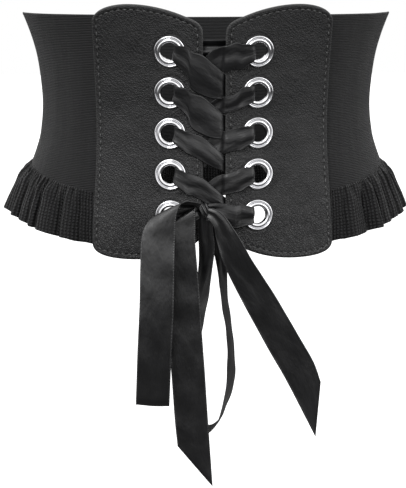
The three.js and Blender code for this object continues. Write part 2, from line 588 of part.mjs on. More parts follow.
// Knot: a small bunched cushion with upright creases, optionally grown by a margin.
function knotGeometry(grow = 0) {
  const geometry = new THREE.SphereGeometry(1, 14, 8);
  const position = geometry.getAttribute('position');
  for (let i = 0; i < position.count; i += 1) {
    const [x, y, z] = [position.getX(i), position.getY(i), position.getZ(i)];
    const round = Math.max(hypot(x, z), 1e-6);
    const crease = 1 - 0.1 * cos(4 * Math.atan2(z, x)) ** 2 * round;
    const square = Math.max(abs(x), abs(y), abs(z)) ** -0.35;
    position.setXYZ(
      i,
      knotMiddle.x + x * crease * square * (KNOT_HALF_WIDTH + grow),
      knotMiddle.y + z * crease * square * (KNOT_HALF_DEPTH + grow),
      knotMiddle.z + y * square * (KNOT_HALF_HEIGHT + grow),
    );
  }
  return geometry;
}
const knotSpace = toSolid(knotGeometry(CLEARANCE));

function besideKnot(geometry) {
  return toGeometry(toSolid(geometry).subtract(knotSpace));
}

addPiece('lace', besideKnot(sheetSolid(laceGrid(), RIBBON_THICKNESS)), satin);
addPiece('bow_knot', toGeometry(toSolid(knotGeometry())), satin);

// A strip of the bow that follows one of the tables above.
function bowStrip(table, drop) {
  const panelBelow = knotMiddle.z + PANEL_DROP;
  const grid = table.map(({ across, forward, zone, at, width, roll, turn }) => {
    const down = zone === 'panel' ? at * panelBelow : panelBelow + at * (drop - panelBelow);
    const middle = knotMiddle.clone().add(
      new THREE.Vector3(across * RIBBON_WIDTH, -forward * BOW_LAYER, -down),
    );
    const [lift, yaw] = [radians(roll), radians(turn)];
    const edge = new THREE.Vector3(cos(lift) * cos(yaw), -cos(lift) * sin(yaw), sin(lift));
    return columnShares.map((share) => (
      middle.clone().addScaledVector(edge, (share * width * RIBBON_WIDTH) / 2)
    ));
  });
  return besideKnot(sheetSolid(grid, RIBBON_THICKNESS));
}
addPiece('bow_loop_left', bowStrip(LOOP_LEFT, LOOP_LEFT_DROP), satin);
addPiece('bow_loop_right', bowStrip(LOOP_RIGHT, LOOP_RIGHT_DROP), satin);
addPiece('bow_tail_left', bowStrip(TAIL_LEFT, TAIL_LEFT_DROP), satin);
addPiece('bow_tail_right', bowStrip(TAIL_RIGHT, TAIL_RIGHT_DROP), satin);

export default belt;
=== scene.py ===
"""Laced corset belt, dressed for the photograph's view. Lengths are in millimetres until a mesh is made."""
import math
from collections import namedtuple

import bpy
import numpy as np
from mathutils import Matrix, Vector
from mathutils.geometry import delaunay_2d_cdt


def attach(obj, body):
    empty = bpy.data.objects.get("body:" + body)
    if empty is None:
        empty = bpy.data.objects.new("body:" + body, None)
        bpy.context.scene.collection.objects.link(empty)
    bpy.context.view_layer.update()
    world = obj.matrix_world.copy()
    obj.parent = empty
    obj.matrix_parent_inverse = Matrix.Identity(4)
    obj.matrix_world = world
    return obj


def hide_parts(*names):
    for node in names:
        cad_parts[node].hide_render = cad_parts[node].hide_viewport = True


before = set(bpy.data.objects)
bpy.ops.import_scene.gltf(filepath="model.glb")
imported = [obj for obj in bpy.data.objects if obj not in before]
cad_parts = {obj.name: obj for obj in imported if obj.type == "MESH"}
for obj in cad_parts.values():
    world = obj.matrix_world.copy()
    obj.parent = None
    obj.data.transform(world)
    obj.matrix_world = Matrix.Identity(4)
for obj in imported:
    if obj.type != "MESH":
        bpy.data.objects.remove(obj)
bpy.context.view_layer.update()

MM = 0.001
TAU = 2 * math.pi

# The waist and the heights above and below it, in millimetres as all lengths here
WAIST_HALF_WIDTH = 129.3
WAIST_HALF_DEPTH = 92.0
BAND_RISE = 72.0
BAND_BACK_DIP = 7.5
SEAM_DROP_SIDE = 48.0
SEAM_DROP_FRONT = 61.5
SEAM_DROP_BACK = 52.0

# Front panels
LACING_GAP = 16.4
PANEL_WIDTH = 78.8
PANEL_RISE = 79.7
PANEL_DROP = 106.8
PANEL_THICKNESS = 2.4
SEAM_ALLOWANCE = 9.0
STITCH_INSET = 3.9
STITCH_PITCH = 5.0
STITCH_LENGTH = 3.3

# Elastic and ruffle
ELASTIC_THICKNESS = 1.5
ELASTIC_SHEET = 1.2
RUFFLE_SHEET = 0.9
RUFFLE_DROP_SIDE = 35.5
RUFFLE_DROP_FRONT = 38.3
RUFFLE_FLARE = 6.0
FOLD_DEPTH = 4.2
FOLD_COUNT = 42
TUCK_ANGLE = 0.12

# Eyelets
EYELET_ROWS = 5
EYELET_TOP_Z = 46.7
EYELET_PITCH = 30.0
EYELET_INSET = 23.1
EYELET_HOLE_RADIUS = 6.5
EYELET_RADIUS = 11.5
EYELET_WASHER_RADIUS = 10.4
EYELET_WASHER_THICKNESS = 0.7
EYELET_SIDES = 72

# Ribbon and bow
RIBBON_WIDTH = 25.0
RIBBON_THICKNESS = 0.45
LACE_FULL_WIDTH = 30.0
KNOT_X = -7.0
KNOT_RISE = 4.4
KNOT_HALF_WIDTH = 5.8
KNOT_HALF_HEIGHT = 7.0
KNOT_HALF_DEPTH = 4.4
BOW_LAYER = 5.0
LOOP_LEFT_DROP = 145.5
LOOP_RIGHT_DROP = 176.0
TAIL_LEFT_DROP = 213.3
TAIL_RIGHT_DROP = 176.0

PANEL_INNER_X = LACING_GAP / 2
PANEL_OUTER_X = PANEL_INNER_X + PANEL_WIDTH
EYELET_COLUMN_X = PANEL_INNER_X + EYELET_INSET
BONE_X = 75.0

# Levels, as distances out from the body's surface
CLEARANCE = 0.3
CAD_RIBBON = 1.0
BAND_MIDDLE = ELASTIC_THICKNESS / 2
PANEL_BACK = ELASTIC_THICKNESS + 2 * CLEARANCE
PANEL_FRONT = PANEL_BACK + PANEL_THICKNESS
PANEL_MIDDLE = (PANEL_BACK + PANEL_FRONT) / 2
EYELET_SAG = EYELET_RADIUS ** 2 / (2 * WAIST_HALF_WIDTH ** 2 / WAIST_HALF_DEPTH)
WASHER_BACK = PANEL_BACK - EYELET_SAG - 2 * CLEARANCE - EYELET_WASHER_THICKNESS
STRAND_FRONT = PANEL_FRONT + 0.6 + CAD_RIBBON / 2
STRAND_BACK = PANEL_BACK - 1.5 * CLEARANCE - CAD_RIBBON / 2
STRAND_RIM = PANEL_FRONT + 0.6 + 2.0 + 1.4 * CLEARANCE + CAD_RIBBON / 2
STRAND_WASHER = WASHER_BACK - CLEARANCE - CAD_RIBBON / 2
STRAND_WALL = EYELET_HOLE_RADIUS * math.cos(math.pi / 12) - CLEARANCE - CAD_RIBBON / 2
KNOT_LEVEL = STRAND_RIM + CAD_RIBBON + KNOT_HALF_DEPTH / 2

# The waist's cross-section: height in shares of BAND_RISE above the waist and of PANEL_DROP below it.
Section = namedtuple("Section", "height width depth")
BODY_SECTIONS = [
    (-1.1, 1.218, 1.08),
    (-0.77, 1.175, 1.072),
    (-0.58, 1.128, 1.056),
    (-0.47, 1.09, 1.045),
    (-0.32, 1.043, 1.028),
    (-0.21, 1.0185, 1.014),
    (0, 1, 1),
    (0.3, 1.0085, 1.008),
    (0.55, 1.028, 1.02),
    (0.76, 1.059, 1.037),
    (1, 1.107, 1.06),
    (1.2, 1.15, 1.08),
]


def smoothstep(x, low, high):
    t = np.clip((np.asarray(x, float) - low) / (high - low), 0, 1)
    return t * t * (3 - 2 * t)


def lerp(a, b, t):
    return a + (b - a) * t


def hermite(a, b, slope_a, slope_b, t):
    """A smooth curve from a to b with the given slopes at its ends, as t goes from 0 to 1."""
    start = a * (1 + 2 * t) * (1 - t) ** 2 + slope_a * t * (1 - t) ** 2
    return start + b * (3 - 2 * t) * t ** 2 - slope_b * t ** 2 * (1 - t)


def section_value(key, z):
    """Smooth width or depth share of the waist at heights z."""
    z = np.asarray(z, float)
    sections = [Section(*row) for row in BODY_SECTIONS]
    h = np.array([s.height for s in sections])
    v = np.array([getattr(s, key) for s in sections])
    slope = np.empty_like(v)
    slope[1:-1] = (v[2:] - v[:-2]) / (h[2:] - h[:-2])
    slope[0] = (v[1] - v[0]) / (h[1] - h[0])
    slope[-1] = (v[-1] - v[-2]) / (h[-1] - h[-2])
    share = np.where(z > 0, z / BAND_RISE, z / PANEL_DROP)
    i = np.clip(np.searchsorted(h, share, side="right") - 1, 0, len(h) - 2)
    span = h[i + 1] - h[i]
    return hermite(v[i], v[i + 1], slope[i] * span, slope[i + 1] * span, (share - h[i]) / span)


def half_width(z):
    return WAIST_HALF_WIDTH * section_value("width", z)


def half_depth(z):
    return WAIST_HALF_DEPTH * section_value("depth", z)


def on_body(angle, z):
    return np.stack([half_width(z) * np.sin(angle), -half_depth(z) * np.cos(angle), z + 0 * angle], -1)


def unit(v):
    return v / np.maximum(np.linalg.norm(v, axis=-1, keepdims=True), 1e-12)


def body_normal(angle, z):
    step = 0.01
    along = on_body(angle + step, z) - on_body(angle - step, z)
    up = on_body(angle, z + step) - on_body(angle, z - step)
    return unit(np.cross(along, up))


def around(angle, z, out=0.0):
    """The body's surface at an angle from the middle of the front, moved out along its normal."""
    angle = np.asarray(angle, float)
    z = np.asarray(z, float) + 0 * angle
    angle = angle + 0 * z
    out = np.asarray(out, float)
    return on_body(angle, z) + body_normal(angle, z) * out[..., None]


def front_at(x, z, out=0.0):
    z = np.asarray(z, float)
    return around(np.arcsin(np.asarray(x, float) / half_width(z)), z, out)


def row_z(row):
    return EYELET_TOP_Z - row * EYELET_PITCH


def band_end(z):
    return np.arcsin((PANEL_OUTER_X - SEAM_ALLOWANCE) / half_width(z))


def band_angle(share, z):
    return lerp(band_end(z), TAU - band_end(z), share)


def top_z(angle):
    return BAND_RISE - BAND_BACK_DIP * np.maximum(-np.cos(angle), 0)


def seam_z(angle):
    facing = np.cos(angle)
    at_panel = math.sqrt(1 - float(PANEL_OUTER_X / half_width(-SEAM_DROP_FRONT)) ** 2)
    back = -lerp(SEAM_DROP_SIDE, SEAM_DROP_BACK, facing ** 2)
    front = -lerp(SEAM_DROP_SIDE, SEAM_DROP_FRONT, (np.maximum(facing, 0) / at_panel) ** 1.5)
    return np.where(facing < 0, back, front)


def hump(x, low, top, high):
    """Rises smoothly from 0 at low to 1 at top, and falls again to 0 at high."""
    return smoothstep(x, low, top) * (1 - smoothstep(x, top, high))


def bell(x, middle, width):
    return np.exp(-((x - middle) / width) ** 2)


def waves(u, v, size, seed):
    """Smooth, repeatable unevenness from -1 to 1, with features of about one size."""
    a, b = np.asarray(u, float) / size, np.asarray(v, float) / size
    total = 0
    for k in range(5):
        turn = seed * 1.7 + k * 2.4
        wave = 0.7 + 0.35 * k
        total = total + np.sin(wave * (a * math.cos(turn) + b * math.sin(turn)) * 2.2 + turn * 3.1 + k)
    return total / 3.2


# Meshes

def make_piece(name, points, faces, material, node=None, uvs=None):
    """An object from points in millimetres. uvs is a dict of layer name to per-point coordinates."""
    mesh = bpy.data.meshes.new(name)
    mesh.from_pydata((np.asarray(points, float) * MM).tolist(), [], faces)
    corner = np.empty(len(mesh.loops), np.int32)
    mesh.loops.foreach_get("vertex_index", corner)
    for layer_name, uv in (uvs or {}).items():
        layer = mesh.uv_layers.new(name=layer_name)
        layer.data.foreach_set("uv", np.asarray(uv, np.float32)[corner].ravel())
    mesh.polygons.foreach_set("use_smooth", np.ones(len(mesh.polygons), bool))
    mesh.validate()
    mesh.update()
    piece = bpy.data.objects.new(name, mesh)
    bpy.context.scene.collection.objects.link(piece)
    mesh.materials.append(material)
    turn_outwards(mesh)
    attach(piece, "root")
    if node:
        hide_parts(node)
    return piece


def turn_outwards(mesh):
    mesh.calc_loop_triangles()
    tri = np.empty(len(mesh.loop_triangles) * 3, np.int32)
    mesh.loop_triangles.foreach_get("vertices", tri)
    co = np.empty(len(mesh.vertices) * 3)
    mesh.vertices.foreach_get("co", co)
    a, b, c = co.reshape(-1, 3)[tri.reshape(-1, 3)].transpose(1, 0, 2)
    if np.einsum("ij,ij->i", a, np.cross(b, c)).sum() < 0:
        mesh.flip_normals()


def grid_faces(index, wrap_rows=False, wrap_columns=False, flip=False):
    """Four-cornered faces between the neighbours in a grid of point numbers."""
    if wrap_rows:
        index = np.concatenate([index, index[:1]])
    if wrap_columns:
        index = np.concatenate([index, index[:, :1]], 1)
    a, b, c, d = index[:-1, :-1], index[1:, :-1], index[1:, 1:], index[:-1, 1:]
    order = (a, d, c, b) if flip else (a, b, c, d)
    return np.stack([corner.ravel() for corner in order], -1).tolist()


def grid_normals(grid):
    down = np.gradient(grid, axis=0)
    across = np.gradient(grid, axis=1)
    return unit(np.cross(across, down))


def lengths_along(grid, axis):
    """Distance along each line of a grid from its start."""
    step = np.linalg.norm(np.diff(grid, axis=axis), axis=-1)
    pad = np.zeros_like(np.take(step, [0], axis=axis))
    return np.cumsum(np.concatenate([pad, step], axis=axis), axis=axis)


def closed_sheet(name, grid, offset, wrap, material, node, uv):
    """A closed mesh of a grid moved out to both sides. Its two sides share the points of its borders."""
    inside = (slice(None) if wrap else slice(1, -1), slice(1, -1))
    front = np.arange(grid[..., 0].size).reshape(grid.shape[:2])
    back = front.copy()
    back[inside] = front.size + np.arange(back[inside].size).reshape(back[inside].shape)
    faces = grid_faces(front, wrap_rows=wrap) + grid_faces(back, wrap_rows=wrap, flip=True)
    points = np.concatenate([(grid + offset).reshape(-1, 3), (grid - offset)[inside].reshape(-1, 3)])
    uvs = {"cloth": np.concatenate([uv.reshape(-1, 2), uv[inside].reshape(-1, 2)])}
    return make_piece(name, points, faces, material, node, uvs)


def sheet_piece(name, grid, thickness, rim, material, node, uv):
    """A closed thin sheet round a grid of its middle. It narrows to a rounded rim at its borders."""
    across, along = lengths_along(grid, 1), lengths_along(grid, 0)
    edge = np.minimum(across, across[:, -1:] - across)
    edge = np.minimum(edge, np.minimum(along, along[-1:] - along))
    taper = np.sqrt(1 - (1 - np.clip(edge / rim, 0, 1)) ** 2)
    offset = grid_normals(grid) * (thickness / 2 * taper)[..., None]
    return closed_sheet(name, grid, offset, False, material, node, uv)


def smooth_along(stations, step):
    """Smooth interpolation between stations, (n, columns, coordinates), to rows about a step apart."""
    s = np.asarray(stations, float)
    gap = np.linalg.norm(np.diff(s.mean(1), axis=0), axis=1)
    h = np.maximum(gap, 0.3) ** 0.75
    chord = np.diff(s, axis=0) / h[:, None, None]
    slope = np.empty_like(s)
    before, after = h[:-1, None, None], h[1:, None, None]
    slope[1:-1] = (chord[:-1] * after + chord[1:] * before) / (before + after)
    slope[0], slope[-1] = chord[0], chord[-1]
    rows = []
    for k, distance in enumerate(gap):
        count = max(2, int(round(distance / step)))
        for t in np.arange(count) / count:
            rows.append(hermite(s[k], s[k + 1], slope[k] * h[k], slope[k + 1] * h[k], t))
    rows.append(s[-1])
    return np.array(rows)


# Materials

class Shader:
    """A material's or a world's nodes. Values given as numbers stay on the sockets themselves."""

    def __init__(self, name, kind=bpy.data.materials):
        self.owner = kind.new(name)
        self.owner.use_nodes = True
        self.nodes = self.owner.node_tree.nodes
        self.links = self.owner.node_tree.links

    def add(self, kind, settings=None, **inputs):
        node = self.nodes.new(kind)
        for key, value in (settings or {}).items():
            setattr(node, key, value)
        for key, value in inputs.items():
            self.put(node.inputs[key.replace("_", " ")], value)
        return node

    def put(self, socket, value):
        if isinstance(value, bpy.types.NodeSocket):
            self.links.new(value, socket)
        else:
            socket.default_value = value

    def math(self, operation, *values):
        node = self.add("ShaderNodeMath", {"operation": operation})
        for socket, value in zip(node.inputs, values):
            self.put(socket, value)
        return node.outputs[0]

    def split(self, vector):
        return self.add("ShaderNodeSeparateXYZ", Vector=vector).outputs

    def uv(self, layer):
        uv = self.add("ShaderNodeUVMap", {"uv_map": layer}).outputs["UV"]
        parts = self.split(uv)
        return parts["X"], parts["Y"], uv

    def place(self):
        return self.nodes.new("ShaderNodeTexCoord").outputs["Object"]

    def stretched(self, vector, x=1.0, y=1.0, z=1.0):
        return self.add("ShaderNodeMapping", Vector=vector, Scale=(x, y, z)).outputs[0]

    def turned(self, vector, degrees):
        """The same place seen in axes turned about the front view's own direction."""
        turn = (0.0, math.radians(degrees), 0.0)
        return self.add("ShaderNodeMapping", Vector=vector, Rotation=turn).outputs[0]

    def noise(self, vector, scale, detail=3.0, roughness=0.5, output="Fac"):
        inputs = {"Vector": vector, "Scale": scale, "Detail": detail, "Roughness": roughness}
        return self.add("ShaderNodeTexNoise", **inputs).outputs[output]

    def cells(self, vector, scale):
        kind = {"feature": "DISTANCE_TO_EDGE"}
        return self.add("ShaderNodeTexVoronoi", kind, Vector=vector, Scale=scale).outputs["Distance"]

    def ramp(self, value, low, high, to_low=0.0, to_high=1.0):
        inputs = {"Value": value, "From Min": low, "From Max": high, "To Min": to_low, "To Max": to_high}
        return self.add("ShaderNodeMapRange", {"interpolation_type": "SMOOTHSTEP"}, **inputs).outputs[0]

    def ribs(self, value, pitch, offset=0.0):
        """A smooth wave from 0 to 1 along a coordinate."""
        phase = self.math("MULTIPLY_ADD", value, TAU / pitch, offset)
        return self.math("MULTIPLY_ADD", self.math("COSINE", phase), 0.5, 0.5)

    def mix(self, factor, a, b, kind="RGBA"):
        node = self.add("ShaderNodeMix", {"data_type": kind})
        first, result = (6, 2) if kind == "RGBA" else (2, 0)
        for k, value in ((0, factor), (first, a), (first + 1, b)):
            self.put(node.inputs[k], value)
        return node.outputs[result]

    def bump(self, height, distance, strength=1.0, normal=None):
        inputs = {} if normal is None else {"Normal": normal}
        return self.add(
            "ShaderNodeBump", Height=height, Distance=distance, Strength=strength, **inputs
        ).outputs[0]

    def finish(self, **inputs):
        sockets = self.nodes["Principled BSDF"].inputs
        for key, value in inputs.items():
            self.put(sockets[key.replace("_", " ")], value)
        return self.owner


def grey(value, blue=0.0):
    return (value, value, value + blue, 1.0)


def leather_material():
    s = Shader("pebbled_leather")
    place = s.place()
    bent = s.add("ShaderNodeVectorMath", {"operation": "MULTIPLY_ADD"})
    s.put(bent.inputs[0], s.noise(place, 420.0, 2.0, output="Color"))
    s.put(bent.inputs[1], (0.0009, 0.0009, 0.0009))
    s.put(bent.inputs[2], place)
    pebbles = s.cells(bent.outputs[0], 620.0)
    pebble_tops = s.ramp(pebbles, 0.0, 0.3)
    fine = s.noise(place, 1900.0, 2.0)
    creases = s.noise(s.stretched(s.turned(place, 38.0), 1.0, 1.0, 0.3), 330.0, 4.0, 0.6)
    crease_lines = s.ramp(s.math("ABSOLUTE", s.math("SUBTRACT", creases, 0.5)), 0.0, 0.1)
    broad = s.noise(place, 24.0, 3.0)
    rough_zone = s.ramp(broad, 0.38, 0.66)
    along, inset, _ = s.uv("edge")
    beside = s.math("ABSOLUTE", s.math("SUBTRACT", inset, STITCH_INSET))
    groove = s.ramp(beside, 0.0, 1.6, 1.0, 0.0)
    between = -TAU * (STITCH_LENGTH + STITCH_PITCH) / 2 / STITCH_PITCH
    # Near-black dashes on the stitch line between stitches: painted shade of the needle holes, which the
    # leather's shape does not have.
    needle_hole_shade = s.ramp(s.ribs(along, STITCH_PITCH, between), 0.72, 0.95)
    needle_hole_shade = s.math("MULTIPLY", needle_hole_shade, s.ramp(beside, 0.35, 0.8, 1.0, 0.0))
    pucker = s.math("MULTIPLY", s.ribs(along, STITCH_PITCH, between + math.pi), groove)
    grain = s.math("MULTIPLY_ADD", fine, 0.3, pebble_tops)
    worn = s.math("MULTIPLY", crease_lines, s.math("MULTIPLY_ADD", rough_zone, 0.9, 0.25))
    height = s.math("MULTIPLY_ADD", worn, 1.1, grain)
    normal = s.bump(height, 0.00024, 0.85)
    normal = s.bump(pucker, 0.0004, 0.8, normal)
    normal = s.bump(broad, 0.0022, 0.5, normal)
    # A lighter band in the outer 1.5 mm of the rolled edge: a painted highlight along the edge.
    painted_edge_highlight = s.ramp(inset, 0.5, 1.5, 0.9, 0.0)
    tone = s.mix(creases, grey(0.0075, 0.0006), grey(0.016, 0.0008))
    tone = s.mix(pebble_tops, grey(0.005, 0.0004), tone)
    # Pebble tops grow lighter towards the panels' lower edge: a painted sheen for the flared lower part
    # catching light from above.
    low = s.ramp(s.split(place)["Z"], -0.04, -0.085)
    painted_low_sheen = s.math("MULTIPLY", s.math("MULTIPLY", low, pebble_tops), s.ramp(creases, 0.3, 0.7, 0.3, 1.0))
    tone = s.mix(painted_low_sheen, tone, grey(0.07, 0.0008))
    tone = s.mix(painted_edge_highlight, tone, grey(0.05))
    tone = s.mix(needle_hole_shade, tone, grey(0.002))
    roughness = s.ramp(broad, 0.25, 0.75, 0.38, 0.5)
    roughness = s.math("MULTIPLY_ADD", s.math("SUBTRACT", 1.0, pebble_tops), 0.15, roughness)
    return s.finish(Base_Color=tone, Roughness=roughness, Normal=normal, Specular_IOR_Level=0.45)


def elastic_material():
    s = Shader("ribbed_elastic")
    along, up, uv = s.uv("cloth")
    wander = s.noise(s.stretched(uv, 0.05, 0.05), 1.0, 2.0)
    rib = s.ribs(s.math("MULTIPLY_ADD", wander, 0.5, up), 1.25)
    knit = s.ribs(along, 0.85)
    fuzz = s.noise(uv, 2.5, 3.0)
    height = s.math("MULTIPLY_ADD", knit, 0.25, rib)
    height = s.math("MULTIPLY_ADD", fuzz, 0.35, height)
    normal = s.bump(height, 0.00042, 1.0)
    folds = s.noise(s.stretched(uv, 0.11, 0.02), 1.0, 2.0)
    normal = s.bump(folds, 0.0016, 0.35, normal)
    tone = s.mix(rib, grey(0.0045, 0.0004), grey(0.021, 0.001))
    return s.finish(
        Base_Color=tone, Roughness=0.78, Normal=normal, Specular_IOR_Level=0.35,
        Sheen_Weight=0.25, Sheen_Roughness=0.45, Sheen_Tint=grey(0.5),
    )


def ruffle_material():
    s = Shader("corded_cloth")
    along, down, uv = s.uv("cloth")
    wander = s.noise(s.stretched(uv, 0.09, 0.09), 1.0, 2.0)
    shifted = s.math("MULTIPLY_ADD", wander, 1.6, along)
    cord = s.ribs(shifted, 2.7)
    bead = s.ribs(s.math("MULTIPLY_ADD", wander, 2.4, down), 2.3)
    weave = s.noise(uv, 2.2, 3.0)
    beads = s.math("MULTIPLY_ADD", bead, 0.65, 0.35)
    height = s.math("MULTIPLY", cord, beads)
    height = s.math("MULTIPLY_ADD", weave, 0.3, height)
    normal = s.bump(height, 0.0015, 1.0)
    tone = s.mix(s.ramp(height, 0.15, 0.9), grey(0.0015, 0.0002), grey(0.031, 0.0012))
    return s.finish(
        Base_Color=tone, Roughness=0.7, Normal=normal, Specular_IOR_Level=0.25,
        Sheen_Weight=0.16, Sheen_Roughness=0.4, Sheen_Tint=grey(0.5),
    )


def satin_material(name, gloss, relief, selvedge_shine):
    s = Shader(name)
    along, across, uv = s.uv("cloth")
    threads = s.noise(s.stretched(uv, 0.2, 5.0), 1.0, 2.0)
    weave = s.noise(uv, 2.4, 2.0)
    soft = s.noise(s.stretched(uv, 0.05, 0.1), 1.0, 3.0)
    edge = s.math("ABSOLUTE", across)
    selvedge = s.ramp(edge, RIBBON_WIDTH / 2 - 1.3, RIBBON_WIDTH / 2 - 0.8)
    picot = s.math("MULTIPLY", s.ribs(along, 1.1), selvedge)
    normal = s.bump(s.math("MULTIPLY_ADD", weave, 0.5, threads), 0.00007, 0.7 * relief)
    normal = s.bump(picot, 0.0002, 0.6, normal)
    normal = s.bump(soft, 0.0022, 0.6 * relief, normal)
    tone = s.mix(threads, grey(0.006, 0.0005), grey(0.0092, 0.001))
    tone = s.mix(s.math("MULTIPLY", picot, selvedge_shine), tone, grey(0.04, 0.002))
    roughness = s.ramp(soft, 0.3, 0.7, 0.34, 0.44)
    return s.finish(
        Base_Color=tone, Roughness=roughness, Normal=normal, Specular_IOR_Level=gloss,
        Anisotropic=0.35, Sheen_Weight=0.08, Sheen_Roughness=0.35, Sheen_Tint=grey(0.7),
    )


def nickel_material():
    s = Shader("polished_nickel")
    place = s.place()
    haze = s.noise(place, 240.0, 4.0)
    wave = s.noise(place, 160.0, 1.0)
    normal = s.bump(wave, 0.00008, 0.3)
    tone = s.mix(haze, (0.7, 0.7, 0.72, 1.0), (0.8, 0.8, 0.82, 1.0))
    roughness = s.ramp(haze, 0.3, 0.7, 0.06, 0.12)
    return s.finish(Base_Color=tone, Roughness=roughness, Normal=normal, Metallic=1.0)


def thread_material():
    s = Shader("waxed_thread")
    twist = s.noise(s.place(), 1800.0, 2.0)
    normal = s.bump(twist, 0.0001, 0.8)
    tone = s.mix(twist, grey(0.045), grey(0.12))
    return s.finish(Base_Color=tone, Roughness=0.34, Normal=normal, Specular_IOR_Level=0.7)


LEATHER = leather_material()
ELASTIC = elastic_material()
RUFFLED = ruffle_material()
SATIN = satin_material("satin_ribbon", 0.85, 0.7, 0.35)
LACING = satin_material("satin_lacing", 0.5, 0.6, 0.1)
NICKEL = nickel_material()
THREAD = thread_material()


# Elastic band

def elastic_band():
    columns, rows = 520, 60
    share = np.linspace(0, 1, columns + 1)[:, None]
    nominal = band_angle(share, 0.0)
    height = np.concatenate([[0, 0.004], np.linspace(0.012, 0.988, rows), [0.996, 1]])[None, :]
    z = lerp(seam_z(nominal), top_z(nominal), height)
    along = 620 * share + 0 * z
    slack = 0.22 * waves(along, z * 0.25, 16, 1.0)
    grid = around(band_angle(share, z), z, BAND_MIDDLE + slack)
    thickness = ELASTIC_SHEET + 0.25 * smoothstep(height, 0.965, 0.98) + 0 * z
    uv = np.stack([along, z], -1)
    return sheet_piece("elastic_sheet", grid, thickness, 0.6, ELASTIC, "elastic_band", uv)


# Ruffle

def ruffle_drop(angle):
    return lerp(RUFFLE_DROP_SIDE, RUFFLE_DROP_FRONT, np.maximum(np.cos(angle), 0))


def fold_shape(phase):
    """Rounded crests and sharp valleys, from -1 to 1."""
    return 2 * np.abs(np.cos(phase / 2)) ** 0.85 - 1


def ruffle():
    columns = FOLD_COUNT * 26
    share = np.linspace(0, 1, columns + 1)[:, None]
    height = np.concatenate([[0, 0.008], np.linspace(0.025, 0.975, 40), [0.988, 1]])[None, :]
    nominal = band_angle(share, 0.0)
    from_end = np.minimum(nominal, TAU - nominal) - band_end(0.0)
    free = smoothstep(from_end, 0.95 * TUCK_ANGLE, 1.6 * TUCK_ANGLE)
    phase = TAU * FOLD_COUNT * share + 1.3 * np.sin(TAU * 9 * share) + 0.8 * np.sin(TAU * 23 * share + 1)
    depth = FOLD_DEPTH * (1 + 0.38 * np.sin(TAU * 13 * share + 2))
    puff = np.where(height < 0.24, 0.42 * np.sin(np.minimum(height / 0.24, 1) * math.pi / 2), 0)
    puff = np.where(height >= 0.24, lerp(0.42, 1, ((height - 0.24) / 0.76)), puff)
    deep = smoothstep(height, -0.02, 0.32) * 0.55 + 0.45 * height
    small = bell(height, 0.16, 0.2)
    lean = 0.35 * np.sin(TAU * 7 * share + 1.4)
    drift = phase + lean * height
    folds = deep * fold_shape(drift)
    gathers = 0.3 * small * fold_shape(2 * drift + 0.8 + 0.5 * np.sin(TAU * 17 * share))
    heads = 0.16 * bell(height, 0.05, 0.06) * fold_shape(2.6 * drift + 0.4)
    hem = 0.12 * height ** 3 * np.sin(2 * drift + 2.1 * np.sin(TAU * 5 * share))
    drop = ruffle_drop(nominal)
    notch = 0.7 * height ** 6 * fold_shape(drift)
    z = seam_z(nominal) + 1.2 - height * (drop + 1.2) + free * notch
    flare = RUFFLE_FLARE * puff * (0.45 + 0.55 * np.abs(np.sin(nominal)))
    lift = 1.02 * bell(height, 0, 0.05)
    sewn = smoothstep(height, 0, 0.045)
    out = BAND_MIDDLE + free * (lift + flare + depth * (folds + sewn * (gathers + heads) + hem))
    sway = free * deep * 0.0075 * np.sin(drift)
    grid = around(band_angle(share, z) + sway, z, out)
    across = lengths_along(grid[:, ::6], 0)[:, 3:4]
    uv = np.stack([across + 0 * z, height * drop + 0 * share], -1)
    return sheet_piece("ruffle_sheet", grid, RUFFLE_SHEET, 0.5, RUFFLED, "ruffle", uv)


# Front panels. Their plan is (s, z), with s the length along the body from the middle of the front.

def plan_table():
    x = np.linspace(0, PANEL_OUTER_X + 12, 400)
    a, b = float(half_width(-15.0)), float(half_depth(-15.0))
    slope = (b / a) * (x / a) / np.sqrt(1 - (x / a) ** 2)
    rise = np.sqrt(1 + slope ** 2)
    s = np.concatenate([[0], np.cumsum((rise[1:] + rise[:-1]) / 2 * np.diff(x))])
    return x, s


PLAN_X, PLAN_S = plan_table()


def s_of_x(x):
    return np.interp(x, PLAN_X, PLAN_S)


def x_of_s(s):
    return np.interp(s, PLAN_S, PLAN_X)


def bezier(start, first, second, end, count):
    t = np.linspace(0, 1, count, endpoint=False)[:, None]
    ends = np.array(start) * (1 - t) ** 3 + np.array(end) * t ** 3
    return ends + 3 * np.array(first) * t * (1 - t) ** 2 + 3 * np.array(second) * t ** 2 * (1 - t)


def panel_outline():
    """The right panel's outline in its plan, at even steps."""
    inner, rise, drop = PANEL_INNER_X, PANEL_RISE, -PANEL_DROP

    def x(share):
        return inner + share * PANEL_WIDTH

    start = (inner, 0.7 * rise)
    curves = [
        ((inner, 0.82 * rise), (x(0.03), 0.84 * rise), (x(0.17), 0.895 * rise)),
        ((x(0.34), 0.965 * rise), (x(0.52), rise), (x(0.68), rise)),
        ((x(0.84), rise), (x(1.02), 0.95 * rise), (x(1.01), 0.82 * rise)),
        ((x(1), 0.5 * rise), (x(0.985), 0.2 * rise), (x(0.985), 0.1 * drop)),
        ((x(0.985), 0.4 * drop), (x(1.03), 0.65 * drop), (x(1.04), 0.9 * drop)),
        ((x(1.04), 0.97 * drop), (x(0.93), drop), (x(0.7), drop)),
        ((x(0.5), drop), (x(0.32), 0.97 * drop), (x(0.17), 0.915 * drop)),
        ((x(0.06), 0.875 * drop), (inner, 0.85 * drop), (inner, 0.77 * drop)),
    ]
    points = []
    for first, second, end in curves:
        points.append(bezier(start, first, second, end, 60))
        start = end
    straight = np.linspace(0.77 * drop, 0.7 * rise, 120, endpoint=False)
    points = np.concatenate(points + [np.stack([inner + 0 * straight, straight], -1)])
    points[:, 0] = s_of_x(points[:, 0])
    return resample_loop(points, 1.5)


